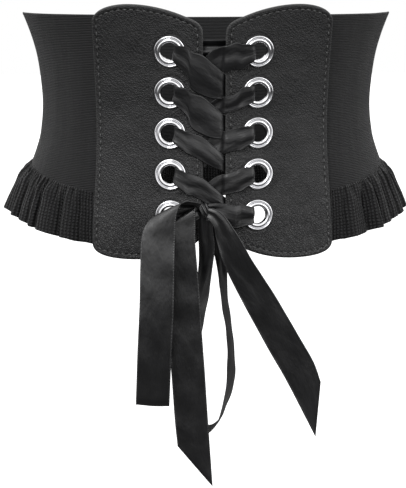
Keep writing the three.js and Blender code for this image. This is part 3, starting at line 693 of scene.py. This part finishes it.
def resample_loop(points, step):
    closed = np.concatenate([points, points[:1]])
    length = np.concatenate([[0], np.cumsum(np.linalg.norm(np.diff(closed, axis=0), axis=1))])
    count = int(round(length[-1] / step))
    at = np.linspace(0, length[-1], count, endpoint=False)
    return np.stack([np.interp(at, length, closed[:, k]) for k in range(2)], -1)


def edge_directions(loop):
    """Unit directions into a loop that runs clockwise as seen from the front, evened out at its corners."""
    ahead = np.roll(loop, -1, 0) - np.roll(loop, 1, 0)
    side = unit(np.stack([ahead[:, 1], -ahead[:, 0]], -1))
    for _ in range(3):
        side = unit(np.roll(side, 1, 0) + 2 * side + np.roll(side, -1, 0))
    return side


def on_panel(side, plan):
    """The body's points behind points of a panel's plan, and its normals there."""
    x, z = side * x_of_s(plan[:, 0]), plan[:, 1]
    foot_x, foot_z = x, z
    for _ in range(5):
        normal = body_normal(np.arcsin(foot_x / half_width(foot_z)), foot_z)
        foot_x = x - PANEL_MIDDLE * normal[:, 0]
        foot_z = z - PANEL_MIDDLE * normal[:, 2]
    angle = np.arcsin(foot_x / half_width(foot_z))
    return on_body(angle, foot_z), body_normal(angle, foot_z)


RIM_INSETS = [0, 0.1, 0.3, 0.6, 1.0, 1.4, 1.9, 2.5, 3.1, 3.5, 3.9, 4.3, 4.8, 5.6, 6.6]
HOLE_RADII = [7.5, 8.6, 9.8, 10.8, 11.5, 12.1, 12.8, 13.6, 14.6]
HOLE_SIDES = 48
FIELD_STEP = 2.2
FIELD_INSET = 20.0


def panel_plan():
    """The plan's points and faces, each point's inset from and place along the outline, and the holes."""
    outline = panel_outline()
    direction = edge_directions(outline)
    line = outline + direction * STITCH_INSET
    length = lengths_along(np.concatenate([line, line[:1]])[:, None, :], 0)[:, 0]
    stitches = int(round(length[-1] / STITCH_PITCH))
    points = [outline + direction * d for d in RIM_INSETS]
    insets = [np.full(len(outline), float(d)) for d in RIM_INSETS]
    along = [length[:-1] * stitches * STITCH_PITCH / length[-1]] * len(RIM_INSETS)
    index = np.arange(len(RIM_INSETS) * len(outline)).reshape(len(RIM_INSETS), -1)
    faces = grid_faces(index, wrap_columns=True, flip=True)
    loops = [index[-1].tolist()]
    turn = np.arange(HOLE_SIDES) * TAU / HOLE_SIDES
    circle = np.stack([np.cos(turn), np.sin(turn)], -1)
    holes = np.array([[s_of_x(EYELET_COLUMN_X), row_z(row)] for row in range(EYELET_ROWS)])
    ring_points = len(HOLE_RADII) * HOLE_SIDES
    for hole in holes:
        points += [hole + radius * circle for radius in HOLE_RADII]
        insets.append(np.full(ring_points, FIELD_INSET))
        along.append(np.zeros(ring_points))
        index = index.max() + 1 + np.arange(ring_points).reshape(-1, HOLE_SIDES)
        faces += grid_faces(index, wrap_columns=True)
        loops.append(index[-1].tolist())
    points = np.concatenate(points)
    inner = points[loops[0]]
    low, high = inner.min(0), inner.max(0)
    u, v = np.meshgrid(np.arange(low[0], high[0], FIELD_STEP), np.arange(low[1], high[1], FIELD_STEP))
    u = u + FIELD_STEP / 2 * (np.arange(u.shape[0]) % 2)[:, None]
    field = np.stack([u.ravel(), v.ravel()], -1)
    field = field[from_holes(field, holes).min(1) > HOLE_RADII[-1] + 0.6 * FIELD_STEP]
    field = field[inside_loop(field, inner)]
    near = np.array([np.linalg.norm(inner - p, axis=1).min() for p in field])
    keep = near > 0.6 * FIELD_STEP
    field, near = field[keep], near[keep]
    plan = np.concatenate([points, field])
    insets = np.concatenate(insets + [RIM_INSETS[-1] + near])
    along = np.concatenate(along + [np.zeros(len(field))])
    used = sum(loops, []) + list(range(len(points), len(plan)))
    where = {old: new for new, old in enumerate(used)}
    edges = [(where[a], where[b]) for loop in loops for a, b in zip(loop, loop[1:] + loop[:1])]
    out = delaunay_2d_cdt([Vector(plan[i]) for i in used], edges, [], 0, 1e-5)
    filled = [[used[out[3][i][0]] for i in face] for face in out[2]]
    middles = np.array([plan[face].mean(0) for face in filled])
    good = inside_loop(middles, inner)
    good &= from_holes(middles, holes).min(1) > HOLE_RADII[-1] * 0.995
    faces += [face for face, ok in zip(filled, good) if ok]
    return plan, [counterclockwise(f, plan) for f in faces], insets, along, holes


def from_holes(points, holes):
    return np.linalg.norm(points[:, None] - holes[None], axis=-1)


def counterclockwise(face, plan):
    x, y = plan[face].T
    area = (x * np.roll(y, -1) - y * np.roll(x, -1)).sum()
    return face[::-1] if area < 0 else face


def inside_loop(points, loop):
    x, y = points[:, 0], points[:, 1]
    inside = np.zeros(len(points), bool)
    for a, b in zip(loop, np.roll(loop, -1, 0)):
        crosses = (a[1] > y) != (b[1] > y)
        if crosses.any():
            at = a[0] + (y - a[1]) / (b[1] - a[1] + 1e-12) * (b[0] - a[0])
            inside ^= crosses & (x < at)
    return inside


def eyelet_axes(side, row):
    """An eyelet's middle on the panel's front, its directions across and up, and its axis."""
    centre, tip = (front_at(side * EYELET_COLUMN_X, row_z(row), PANEL_FRONT + out) for out in (0, 1))
    axis = unit(tip - centre)
    across = unit(np.cross(axis, (0.0, 0.0, 1.0)))
    return centre, across, np.cross(across, axis), axis


def front_panel(side, label, plan_parts):
    plan, faces, inset, along, holes = plan_parts
    base, normal = on_panel(side, plan)
    s, z = plan.T
    half = PANEL_THICKNESS / 2
    rounding = half * np.sqrt(1 - (1 - np.clip(inset / half, 0, 1)) ** 2)
    ridge = 0.22 * bell(inset, 1.9, 0.9)
    groove = -0.42 * bell(inset, STITCH_INSET, 0.55)
    field = smoothstep(inset, 5, 16)
    hollow = 0.3 * field * waves(s, z, 19, 3.0 + side)
    hollow += 0.12 * field * waves(s, z, 7, 5.0 + side)
    bone = bell(s, s_of_x(BONE_X), 3.0) * smoothstep(z, -12, 12)
    hollow += (0.2 + 0.14 * side) * bone * (1 - smoothstep(z, 62, 76))
    front = base + normal * (PANEL_MIDDLE + rounding + ridge + groove + hollow)[:, None]
    back = base + normal * (PANEL_MIDDLE - rounding)[:, None]
    distance = from_holes(plan, holes)
    for row in range(EYELET_ROWS):
        centre, _, _, axis = eyelet_axes(side, row)
        near = distance[:, row] < 17
        rho = distance[near, row]
        height = (front[near] - centre) @ axis
        seat = 0.12 - 0.3 * bell(rho, 12.0, 0.9) + 0.12 * bell(rho, 13.6, 1)
        weight = 1 - smoothstep(rho, 12.2, 16.5)
        front[near] += axis * ((seat - height) * weight)[:, None]
    keep = np.where(inset >= 1e-9)[0]
    back_index = np.arange(len(plan))
    back_index[keep] = len(plan) + np.arange(len(keep))
    all_faces = faces + [[int(back_index[i]) for i in reversed(face)] for face in faces]
    hole_edge = np.abs(distance.min(1) - HOLE_RADII[0]) < 1e-6
    for ring in np.where(hole_edge)[0].reshape(EYELET_ROWS, HOLE_SIDES):
        all_faces += grid_faces(np.stack([ring, back_index[ring]]), wrap_columns=True, flip=True)
    edge = np.stack([along, inset], -1)
    uvs = {
        "cloth": np.concatenate([plan, plan[keep]]),
        "edge": np.concatenate([edge, edge[keep] + (0, 30)]),
    }
    points = np.concatenate([front, back[keep]])
    name, node = f"leather_panel_{label}", f"front_panel_{label}"
    return make_piece(name, points, all_faces, LEATHER, node, uvs)


def stitching(side, label):
    """One line of thread, a row of separate stitches along the panel's edge."""
    outline = panel_outline()
    line = resample_loop(outline + edge_directions(outline) * STITCH_INSET, 0.25)
    spacing = np.linalg.norm(np.roll(line, -1, 0) - line, axis=1).mean()
    total = spacing * len(line)
    count = int(round(total / STITCH_PITCH))
    segments, sides = 7, 8
    t = np.linspace(-1, 1, segments)
    arch = 0.3 * (1 - t ** 2) - 0.34
    width = 0.36 * np.sqrt(np.clip(1 - t ** 4, 0.02, 1))
    turn = np.arange(sides) * TAU / sides
    points, faces = [], []
    for k in range(count):
        at = (k * total / count + STITCH_LENGTH / 2 * (t + 1)) / spacing
        base, normal = on_panel(side, line[np.round(at).astype(int) % len(line)])
        middle = base + normal * (PANEL_FRONT - 0.02 + arch)[:, None]
        beside = unit(np.cross(normal, unit(np.gradient(middle, axis=0))))
        ring = (
            middle[:, None]
            + beside[:, None] * (width[:, None] * np.cos(turn))[..., None]
            + normal[:, None] * (0.8 * width[:, None] * np.sin(turn))[..., None]
        )
        points.append(ring.reshape(-1, 3))
        index = k * segments * sides + np.arange(segments * sides).reshape(segments, sides)
        faces += grid_faces(index, wrap_columns=True, flip=True)
        faces += [index[0, ::-1].tolist(), index[-1].tolist()]
    return make_piece(f"stitches_{label}", np.concatenate(points), faces, THREAD)


# Eyelets: an outer bead and an inner rolled one, a barrel and a washer behind.
def eyelet_profile():
    """Radius from the axis and height over the panel's front, once round the metal's section."""
    washer_back = WASHER_BACK - PANEL_FRONT
    washer_front = washer_back + EYELET_WASHER_THICKNESS
    hole, rim, washer = EYELET_HOLE_RADIUS, EYELET_RADIUS, EYELET_WASHER_RADIUS

    def bead(outside, inside, height, degrees):
        turn = np.radians(degrees)
        radius = (outside + inside) / 2 + (outside - inside) / 2 * np.cos(turn)
        return list(zip(radius, height + 1.35 * np.sin(turn)))

    points = [(hole + 0.8, washer_front), (hole + 0.8, 0.0), (rim - 1.0, 0.0), (rim - 0.25, 0.02)]
    points += bead(rim, 9.75, 0.25, range(0, 181, 15))
    points += bead(9.4, hole, 0.95, range(20, 181, 16))
    points += [(hole, 0.6), (hole - 0.02, washer_back + 0.7), (hole + 0.35, washer_back + 0.15)]
    points += [(hole + 0.8, washer_back), (washer - 0.3, washer_back), (washer, washer_back + 0.25)]
    points += [(washer, washer_front - 0.1), (washer - 0.2, washer_front)]
    return np.array(points)


def eyelet(side, label, row):
    profile = eyelet_profile()
    centre, right, up, axis = eyelet_axes(side, row)
    turn = np.arange(EYELET_SIDES)[:, None] * TAU / EYELET_SIDES
    radial = np.cos(turn) * right + np.sin(turn) * up
    points = centre + profile[None, :, 0, None] * radial[:, None] + profile[None, :, 1, None] * axis
    index = np.arange(EYELET_SIDES * len(profile)).reshape(EYELET_SIDES, -1)
    faces = grid_faces(index, wrap_rows=True, wrap_columns=True, flip=True)
    name, node = f"eyelet_ring_{label}_{row + 1}", f"eyelet_{label}_{row + 1}"
    return make_piece(name, points.reshape(-1, 3), faces, NICKEL, node)


# Lacing ribbon. across is -2 at the eyelet that a strand comes from, -1 and 1 at the notch's edges and 2 at
# the other eyelets. drop is in eyelet pitches below the row, half is half the width in ribbon widths, and
# level goes from behind the panel, 0, to in front of it, 1.
Stop = namedtuple("Stop", "across drop half level")
LEFT_STRAND = [
    Stop(-1.44, 0.29, 0.36, 1),
    Stop(-1, 0.41, 0.39, 1),
    Stop(-0.1, 0.58, 0.34, 0.84),
    Stop(0.6, 0.7, 0.28, 0.56),
    Stop(0.8, 0.74, 0.27, 0.34),
    Stop(0.95, 0.77, 0.26, 0.1),
    Stop(1.1, 0.8, 0.25, 0),
    Stop(1.38, 0.9, 0.25, -0.3),
    Stop(1.7, 0.97, 0.25, -0.36),
]
RIGHT_STRAND = [
    Stop(-1.44, 0.17, 0.312, 1),
    Stop(-0.98, 0.24, 0.3, 1),
    Stop(-0.8, 0.25, 0.3, 0.66),
    Stop(-0.6, 0.27, 0.3, 0.3),
    Stop(0, 0.36, 0.32, 0.12),
    Stop(0.6, 0.5, 0.32, 0.05),
    Stop(1, 0.62, 0.3, 0),
    Stop(1.38, 0.82, 0.28, -0.3),
    Stop(1.7, 0.95, 0.25, -0.36),
]
# How much wider each strand lies, row by row from the top, as the loose ribbon opens out.
LEFT_SPREAD = (1.5, 1.45, 0.92, 0.86)
RIGHT_SPREAD = (1.26, 0.82, 1.1, 1.02)
LACE_SHARES = np.linspace(-1, 1, 41)

# How the ribbon goes through an eyelet, from its back to the far side of its rim in front. reach is how far
# the ribbon's middle lies from the hole's, curve how much its edges draw back, sink how far it hangs below
# the hole's middle and gather how much it is pleated.
Pass = namedtuple("Pass", "reach half curve sink out gather")
HOLE_PASS = [
    Pass(8.4, 6.0, 1.4, 0, STRAND_WASHER, 1),
    Pass(4.6, 5.0, 0.9, 0.2, STRAND_WASHER - 0.1, 1),
    Pass(3.1, 5.3, 0.3, 0.3, PANEL_FRONT - 0.4, 0.3),
    Pass(2.8, 5.7, 0.0, 0.5, PANEL_FRONT + 1.7, 0),
    Pass(3.9, 6.2, -0.2, 1.4, PANEL_FRONT + 2.9, 0),
    Pass(8.6, 7.4, -0.4, 4.2, PANEL_FRONT + 2.9, 0),
    Pass(12.4, 8.4, 0.0, 7, PANEL_FRONT + 1.9, 0),
]


def gathered_row(points, gather):
    """A row of the ribbon's points, with how much it is pleated as their fourth coordinate."""
    return np.concatenate([points, np.full((len(points), 1), float(gather))], 1)


def lace_spread(side, row):
    spreads = LEFT_SPREAD if side < 0 else RIGHT_SPREAD
    return spreads[row] if row < len(spreads) else 1


def hole_stations(side, row):
    lean, sink = (0.9, 1) if side < 0 else (0.1, 0.55)
    sink = sink if row < EYELET_ROWS - 1 else 0
    stations = []
    for stop in HOLE_PASS:
        reach = stop.reach - stop.curve * LACE_SHARES ** 2 + lean * LACE_SHARES * (1 - 0.08 * stop.reach)
        half = stop.half * lerp(1, lace_spread(side, row), 0.08 * stop.sink)
        z = row_z(row) - sink * stop.sink + half * LACE_SHARES
        stations.append(gathered_row(front_at(side * (EYELET_COLUMN_X - reach), z, stop.out), stop.gather))
    return stations


def strand_stations(side, row):
    edge, wall = PANEL_INNER_X, EYELET_COLUMN_X - STRAND_WALL
    stations = []
    for stop in LEFT_STRAND if side < 0 else RIGHT_STRAND:
        x = -side * np.interp(stop.across, (-2, -1, 1, 2), (-wall, -edge, edge, wall))
        out = lerp(STRAND_BACK, STRAND_FRONT, stop.level)
        if stop.level < 0:
            out = lerp(STRAND_BACK, STRAND_WASHER, -stop.level / 0.3)
        hidden = 1 if stop.across > 1 else 0
        spread = lerp(lace_spread(side, row), 1, 0.7 * hidden)
        half = stop.half * RIBBON_WIDTH
        z = row_z(row) - stop.drop * EYELET_PITCH + LACE_SHARES * half * spread + side * half * (spread - 1)
        crown = 0.6 * smoothstep(stop.level, 0.3, 0.9) * (0.6 - LACE_SHARES ** 2)
        stations.append(gathered_row(front_at(x, z, out + crown), hidden))
    return stations


KNOT_Z = row_z(EYELET_ROWS - 1) + KNOT_RISE
KNOT_MIDDLE = front_at(KNOT_X, KNOT_Z, KNOT_LEVEL)


def knot_stations(side):
    row = EYELET_ROWS - 1
    start = side * (EYELET_COLUMN_X - EYELET_RADIUS - 3)
    end = KNOT_X + side * 0.3 * KNOT_HALF_WIDTH
    stations = []
    for share in (0.08, 0.4, 0.75, 1):
        half = lerp(0.33, 0.19, share ** 2.5) * RIBBON_WIDTH
        z = lerp(row_z(row) - 1, KNOT_Z, share) + LACE_SHARES * half
        crown = 0.5 * (0.6 - LACE_SHARES ** 2)
        out = lerp(STRAND_RIM, KNOT_LEVEL - 0.45 * KNOT_HALF_DEPTH, share ** 2) + crown
        stations.append(gathered_row(front_at(lerp(start, end, share), z, out), 0.5 * share ** 4))
    return stations


def pleated(grid, gather):
    """Pleats a ribbon lengthways where it is gathered, and gives the rest of it soft folds."""
    normal = grid_normals(grid)
    inwards = unit(grid * np.array([-0.4, -1.0, 0.0]))
    across = lengths_along(grid, 1)
    width = np.maximum(across[:, -1:], 1)
    share = across / width
    along = lengths_along(grid, 0)[:, grid.shape[1] // 2][:, None]
    stretch = np.clip(LACE_FULL_WIDTH / width, 1, 2.4)
    count = 1.9 + 0.2 * np.sin(along / 23 + 1)
    size = gather * width / (TAU * count) * np.sqrt(2 * (stretch ** 2 - 1))
    wander = 0.9 * np.sin(along / 17 + 1) + 0.5 * np.sin(along / 7.3 + 2)
    fade = np.sin(np.clip(share, 0, 1) * math.pi) ** 0.35
    pleat = size * fade * (1 + np.sin(TAU * count * share + wander))
    fold = 0.3 * np.sin(TAU * 0.8 * share + along / 13 + 1) + 0.14 * np.sin(TAU * 1.7 * share - along / 7)
    return grid + inwards * pleat[..., None] + normal * (fold * fade * (1 - gather))[..., None]


def ribbon_uv(grid):
    across = lengths_along(grid, 1)
    share = across / np.maximum(across[:, -1:], 1e-6) - 0.5
    along = lengths_along(grid, 0)[:, grid.shape[1] // 2][:, None]
    return np.stack([along + 0 * share, share * RIBBON_WIDTH], -1)


def lacing():
    def walk(side):
        stations = hole_stations(side, 0)
        for row in range(EYELET_ROWS - 1):
            stations += strand_stations(side, row)
            side = -side
            stations += hole_stations(side, row + 1)
        return stations + knot_stations(side)

    z = row_z(0) + LACE_SHARES * 0.3 * RIBBON_WIDTH
    bar = [gathered_row(front_at(share * LACING_GAP, z, STRAND_WASHER), 0.4) for share in (-0.5, 0.5)]
    rows = smooth_along(walk(-1)[::-1] + bar + walk(1), 1.3)
    grid = pleated(rows[..., :3], np.clip(rows[..., 3], 0, 1))
    uv = ribbon_uv(grid)
    return sheet_piece("lacing_ribbon", grid, RIBBON_THICKNESS, 0.3, LACING, "lace", uv)


# The bow's strips, from the knot round or down. across and width are in ribbon widths, forward in bow
# layers. at is how far down, 1 at the panels' lower edge and 2 at the strip's lowest point. roll and turn
# are in degrees.
Rung = namedtuple("Rung", "across forward at width roll turn")
LOOP_LEFT = [
    (-0.16, 0.6, -0.1, 0.3, 40, 60),
    (-0.45, 1.2, -0.15, 0.5, 25, 64),
    (-0.8, 1.7, -0.16, 0.75, 24, 52),
    (-1.1, 2.1, -0.07, 0.93, 26, 30),
    (-1.3, 2.3, 0.13, 1, 20, 17),
    (-1.38, 2.6, 0.45, 1, 8, 12),
    (-1.41, 3.05, 0.95, 1, 2, 10),
    (-1.44, 3.45, 1.26, 1, 0, 6),
    (-1.51, 3.3, 1.586, 1, -1, 2),
    (-1.56, 2.75, 1.88, 1, -3, 0),
    (-1.575, 2.3, 1.98, 1, -3, 0),
    (-1.575, 1.75, 2, 1, -3, 0),
    (-1.575, 1.3, 1.98, 1, -3, 0),
    (-1.54, 1, 1.8, 1, -3, 0),
    (-1.46, 1, 1.49, 1, -2, 0),
    (-1.38, 1.05, 1.167, 1, -4, 0),
    (-1.34, 1.1, 0.72, 0.97, -8, 0),
    (-1.22, 0.75, 0.42, 0.85, -26, 0),
    (-0.92, 0.45, 0.2, 0.7, -50, 0),
    (-0.5, 0.35, 0.08, 0.5, -66, 0),
    (-0.16, 0.3, 0.03, 0.3, -80, 0),
]
LOOP_RIGHT = [
    (-0.02, 0.05, -0.06, 0.4, 0, 5),
    (0.02, -0.35, 0.4, 0.46, 0, 12),
    (0.06, -0.62, 0.72, 0.5, 0, 22),
    (0.03, -1.1, 1.03, 0.52, 0, 40),
    (-0.06, -2, 1.166, 0.75, 0, 60),
    (-0.22, -2.55, 1.346, 0.95, 0, 70),
    (-0.36, -2.8, 1.6, 1, 0, 82),
    (-0.3, -2.8, 1.815, 1, 0, 82),
    (-0.1, -2.75, 1.94, 1, 18, 82),
    (0.16, -2.75, 1.98, 1, 36, 82),
    (0.42, -2.75, 1.945, 1, 36, 82),
    (0.64, -2.75, 1.85, 1, 28, 82),
    (0.8, -2.75, 1.725, 1, 14, 82),
    (0.85, -2.75, 1.6, 1, 0, 82),
    (0.8, -2.7, 1.454, 1, 0, 82),
    (0.69, -2.55, 1.296, 0.95, 0, 80),
    (0.58, -2.15, 1.15, 0.8, 0, 77),
    (0.52, -1.15, 1.043, 0.55, 0, 62),
    (0.46, -0.6, 0.82, 0.4, 0, 25),
    (0.34, -0.42, 0.5, 0.34, 0, 10),
    (0.16, 0.1, 0.14, 0.28, 0, 0),
]
TAIL_LEFT = [
    (-0.15, 0.1, 0.04, 0.3, 78, 0),
    (-0.38, 0.2, 0.13, 0.55, 62, 0),
    (-0.6, 0.45, 0.15, 0.85, 44, 0),
    (-0.74, 0.75, 0.09, 1.08, 33, 0),
    (-0.78, 1.1, 0.12, 1.1, 29, 0),
    (-0.79, 1.3, 0.3, 1.05, 18, 0),
    (-0.79, 1.5, 0.58, 1, 5, 0),
    (-0.75, 1.5, 0.95, 1, 2, 0),
    (-0.68, 1.4, 1.11, 1, 3, 0),
    (-0.61, 1.3, 1.274, 1, 3, 0),
    (-0.51, 1.2, 1.474, 1, 3, 0),
    (-0.42, 0.9, 1.674, 1, 1, 0),
    (-0.3, 0.6, 1.905, 1.7, -51, 0),
]
TAIL_RIGHT = [
    (0.02, 0.5, 0.02, 0.3, 85, 0),
    (0.22, 0.95, 0.06, 0.38, 72, 0),
    (0.38, 1.06, 0.16, 0.46, 58, 4),
    (0.56, 1.06, 0.4, 0.6, 34, 14),
    (0.77, 1.0, 0.7, 0.76, 29, 20),
    (1.0, 0.92, 1.01, 0.86, 28, 20),
    (1.27, 0.82, 1.1, 0.91, 28, 16),
    (1.58, 0.68, 1.197, 0.95, 29, 10),
    (2.4, 0.4, 1.465, 1, 30, 6),
    (2.82, 0.25, 1.6, 1, 34, 2),
    (3.44, 0.05, 1.84, 1.77, 86, 0),
]
EDGE_SHARES = np.array([0.985, 0.96, 0.93])
STRIP_SHARES = np.concatenate([[-1], -EDGE_SHARES, np.linspace(-0.88, 0.88, 23), EDGE_SHARES[::-1], [1]])


def bow_strip(name, table, drop, node, seed, ripple, lip=0.0):
    panel_below = KNOT_MIDDLE[2] + PANEL_DROP
    stations = []
    for rung in (Rung(*row) for row in table):
        down = np.interp(rung.at, (-1, 1, 2), (-panel_below, panel_below, drop))
        middle = KNOT_MIDDLE + np.array([rung.across * RIBBON_WIDTH, -rung.forward * BOW_LAYER, -down])
        lift, yaw = math.radians(rung.roll), math.radians(rung.turn)
        edge = np.array([math.cos(lift) * math.cos(yaw), -math.cos(lift) * math.sin(yaw), math.sin(lift)])
        stations.append(middle + edge * (STRIP_SHARES * rung.width * RIBBON_WIDTH / 2)[:, None])
    grid = smooth_along(stations, 2.0)
    along = lengths_along(grid, 0)[:, len(STRIP_SHARES) // 2][:, None]
    across = lengths_along(grid, 1)
    width = across[:, -1:]
    share = across / width * 2 - 1
    stretch = np.clip(23.0 / width, 1, 2.4)
    crowd = smoothstep(stretch, 1.0, 1.6)
    pleats = 1.5
    size = width / (math.pi * pleats) * np.sqrt(stretch - 1) * 0.2
    fade = np.cos(share * math.pi / 2) ** 0.4
    fold = np.sin(math.pi * pleats * (share + 1) + seed + 0.4 * np.sin(along / 15))
    lean = ripple * waves(along, share * 9, 15, seed)
    curl = 0.35 * share ** 2 - lip * smoothstep(-share, 0.6, 1) ** 2 * hump(along, 10, 30, 52)
    lift = size * fade * fold * crowd + (1 - crowd) * (lean + curl)
    grid = grid + grid_normals(grid) * lift[..., None]
    thickness = RIBBON_THICKNESS + 0.35 * bell(np.abs(share), 0.955, 0.03)
    return sheet_piece(name, grid, thickness, 0.25, SATIN, node, ribbon_uv(grid))


def knot_turn(name, scale, tilt, width, seed):
    """One wrapped turn of the knot, a closed ring of creased ribbon round the bow's middle."""
    rows, columns, reach = 96, 49, 1.3
    turn = np.linspace(0, TAU, rows, endpoint=False)[:, None]
    share = np.linspace(-reach, reach, columns)[None, :]
    narrow = 1 - 0.16 * np.cos(turn) ** 2
    bulge = scale * (1 - 0.32 * np.abs(share) ** 2.6)
    inside = 1 - (share / reach) ** 4
    crease = 0.85 * np.sin(TAU * 1.4 * (share + 0.12 * np.sin(turn + seed)) + seed) * inside
    crease = crease + 0.28 * np.sin(TAU * 3.1 * share + 3 * seed + np.sin(turn * 2)) * inside
    x = width / 2 * np.sin(share * math.pi / 2) * narrow
    y = -(KNOT_HALF_DEPTH * bulge + crease) * np.cos(turn)
    z = (KNOT_HALF_HEIGHT * bulge + crease) * np.sin(turn)
    slope = math.radians(tilt)
    across, up = x * math.cos(slope) - z * math.sin(slope), x * math.sin(slope) + z * math.cos(slope)
    grid = np.stack([across, y, up], -1) + KNOT_MIDDLE
    normal = unit(np.cross(np.roll(grid, -1, 0) - np.roll(grid, 1, 0), np.gradient(grid, axis=1)))
    offset = normal * 0.25 * np.sqrt(1 - (share / reach) ** 16)[..., None]
    uv = np.stack([turn * 6.0 + 0 * share, share * 12.0 + 0 * turn], -1)
    return closed_sheet(name, grid, offset, True, SATIN, "bow_knot", uv)


band = elastic_band()
frill = ruffle()
plan_parts = panel_plan()
for label, side in (("left", -1), ("right", 1)):
    front_panel(side, label, plan_parts)
    stitching(side, label)
    for row in range(EYELET_ROWS):
        eyelet(side, label, row)
lace = lacing()
loop_left = bow_strip("loop_left_ribbon", LOOP_LEFT, LOOP_LEFT_DROP, "bow_loop_left", 1.0, 0.5)
loop_right = bow_strip("loop_right_ribbon", LOOP_RIGHT, LOOP_RIGHT_DROP, "bow_loop_right", 2.0, 0.5)
tail_left = bow_strip("tail_left_ribbon", TAIL_LEFT, TAIL_LEFT_DROP, "bow_tail_left", 3.0, 0.45)
tail_right = bow_strip("tail_right_ribbon", TAIL_RIGHT, TAIL_RIGHT_DROP, "bow_tail_right", 4.0, 0.45, 2.8)
knot_outer = knot_turn("knot_turn_outer", 0.7, 24.0, 6.8, 0.6)


# Floor, light and camera

ROOM_FRONT = 0.16
ROOM_BACK = 0.85
SHINE_FROM, SHINE_TO = -0.22, 0.28
SHINE_LOW, SHINE_HIGH = 0.1, 1.4


def floor_material():
    s = Shader("pale_floor")
    tone = s.mix(s.noise(s.place(), 3.0, 2.0), grey(0.9), grey(0.93))
    return s.finish(Base_Color=tone, Roughness=0.9, Emission_Color=grey(1.0), Emission_Strength=0.8)


def floor():
    size = 8.0
    corners = [(-size, -size, 0), (size, -size, 0), (size, size, 0), (-size, size, 0)]
    mesh = bpy.data.meshes.new("floor")
    mesh.from_pydata(corners, [], [(0, 1, 2, 3)])
    mesh.materials.append(floor_material())
    plane = bpy.data.objects.new("floor", mesh)
    plane.location = (0, 0, -0.6)
    plane.visible_diffuse = False
    plane.visible_glossy = False
    bpy.context.scene.collection.objects.link(plane)


def area_light(name, place, target, size, power):
    data = bpy.data.lights.new(name, "AREA")
    data.shape = "RECTANGLE"
    data.size, data.size_y = size
    data.energy = power
    lamp = bpy.data.objects.new(name, data)
    lamp.location = place
    lamp.rotation_euler = (Vector(target) - Vector(place)).to_track_quat("-Z", "Y").to_euler()
    bpy.context.scene.collection.objects.link(lamp)


def camera():
    data = bpy.data.cameras.new("camera")
    data.lens, data.sensor_width = 91.84, 36.0
    data.clip_start, data.clip_end = 0.05, 30.0
    cam = bpy.data.objects.new("camera", data)
    bpy.context.scene.collection.objects.link(cam)
    swing = math.radians(3.2)
    place = Vector((-math.sin(swing), -math.cos(swing), 0.1))
    yaw = swing + math.atan((203 - 206.7) / 1245)
    pitch = math.radians(12.2)
    ahead = Vector((math.sin(yaw) * math.cos(pitch), math.cos(yaw) * math.cos(pitch), -math.sin(pitch)))
    right = Vector((math.cos(yaw), -math.sin(yaw), 0))
    up = right.cross(ahead)
    turn = Matrix((right, up, -ahead)).transposed()
    cam.matrix_world = Matrix.Translation(place) @ turn.to_4x4()
    bpy.context.scene.camera = cam


def surroundings():
    """A white backdrop, and for the object a softer room, lit mostly from above."""
    s = Shader("studio", bpy.data.worlds)
    bpy.context.scene.world = s.owner
    direction = s.split(s.add("ShaderNodeTexCoord").outputs["Generated"])
    deep = s.ramp(direction["Y"], -0.35, 0.6, ROOM_FRONT, ROOM_BACK)
    room = s.math("MULTIPLY", deep, s.ramp(direction["Z"], -0.6, 1.0, 0.55, 1.5))
    shine = s.ramp(direction["Z"], SHINE_FROM, SHINE_TO, SHINE_LOW, SHINE_HIGH)
    seen = s.add("ShaderNodeLightPath").outputs
    strength = s.mix(seen["Is Glossy Ray"], room, shine, "FLOAT")
    strength = s.mix(seen["Is Camera Ray"], strength, 1.0, "FLOAT")
    background = s.nodes["Background"].inputs
    s.put(background["Color"], grey(1.0))
    s.put(background["Strength"], strength)
    view = bpy.context.scene.view_settings
    view.view_transform = "Standard"
    view.look = "None"


camera()
floor()
surroundings()
area_light("key_light", (-0.7, -1.1, 1.0), (0, 0, 0), (0.9, 0.9), 14)
area_light("fill_light", (1.1, -0.8, 0.4), (0, 0, -0.05), (0.8, 1.2), 6)
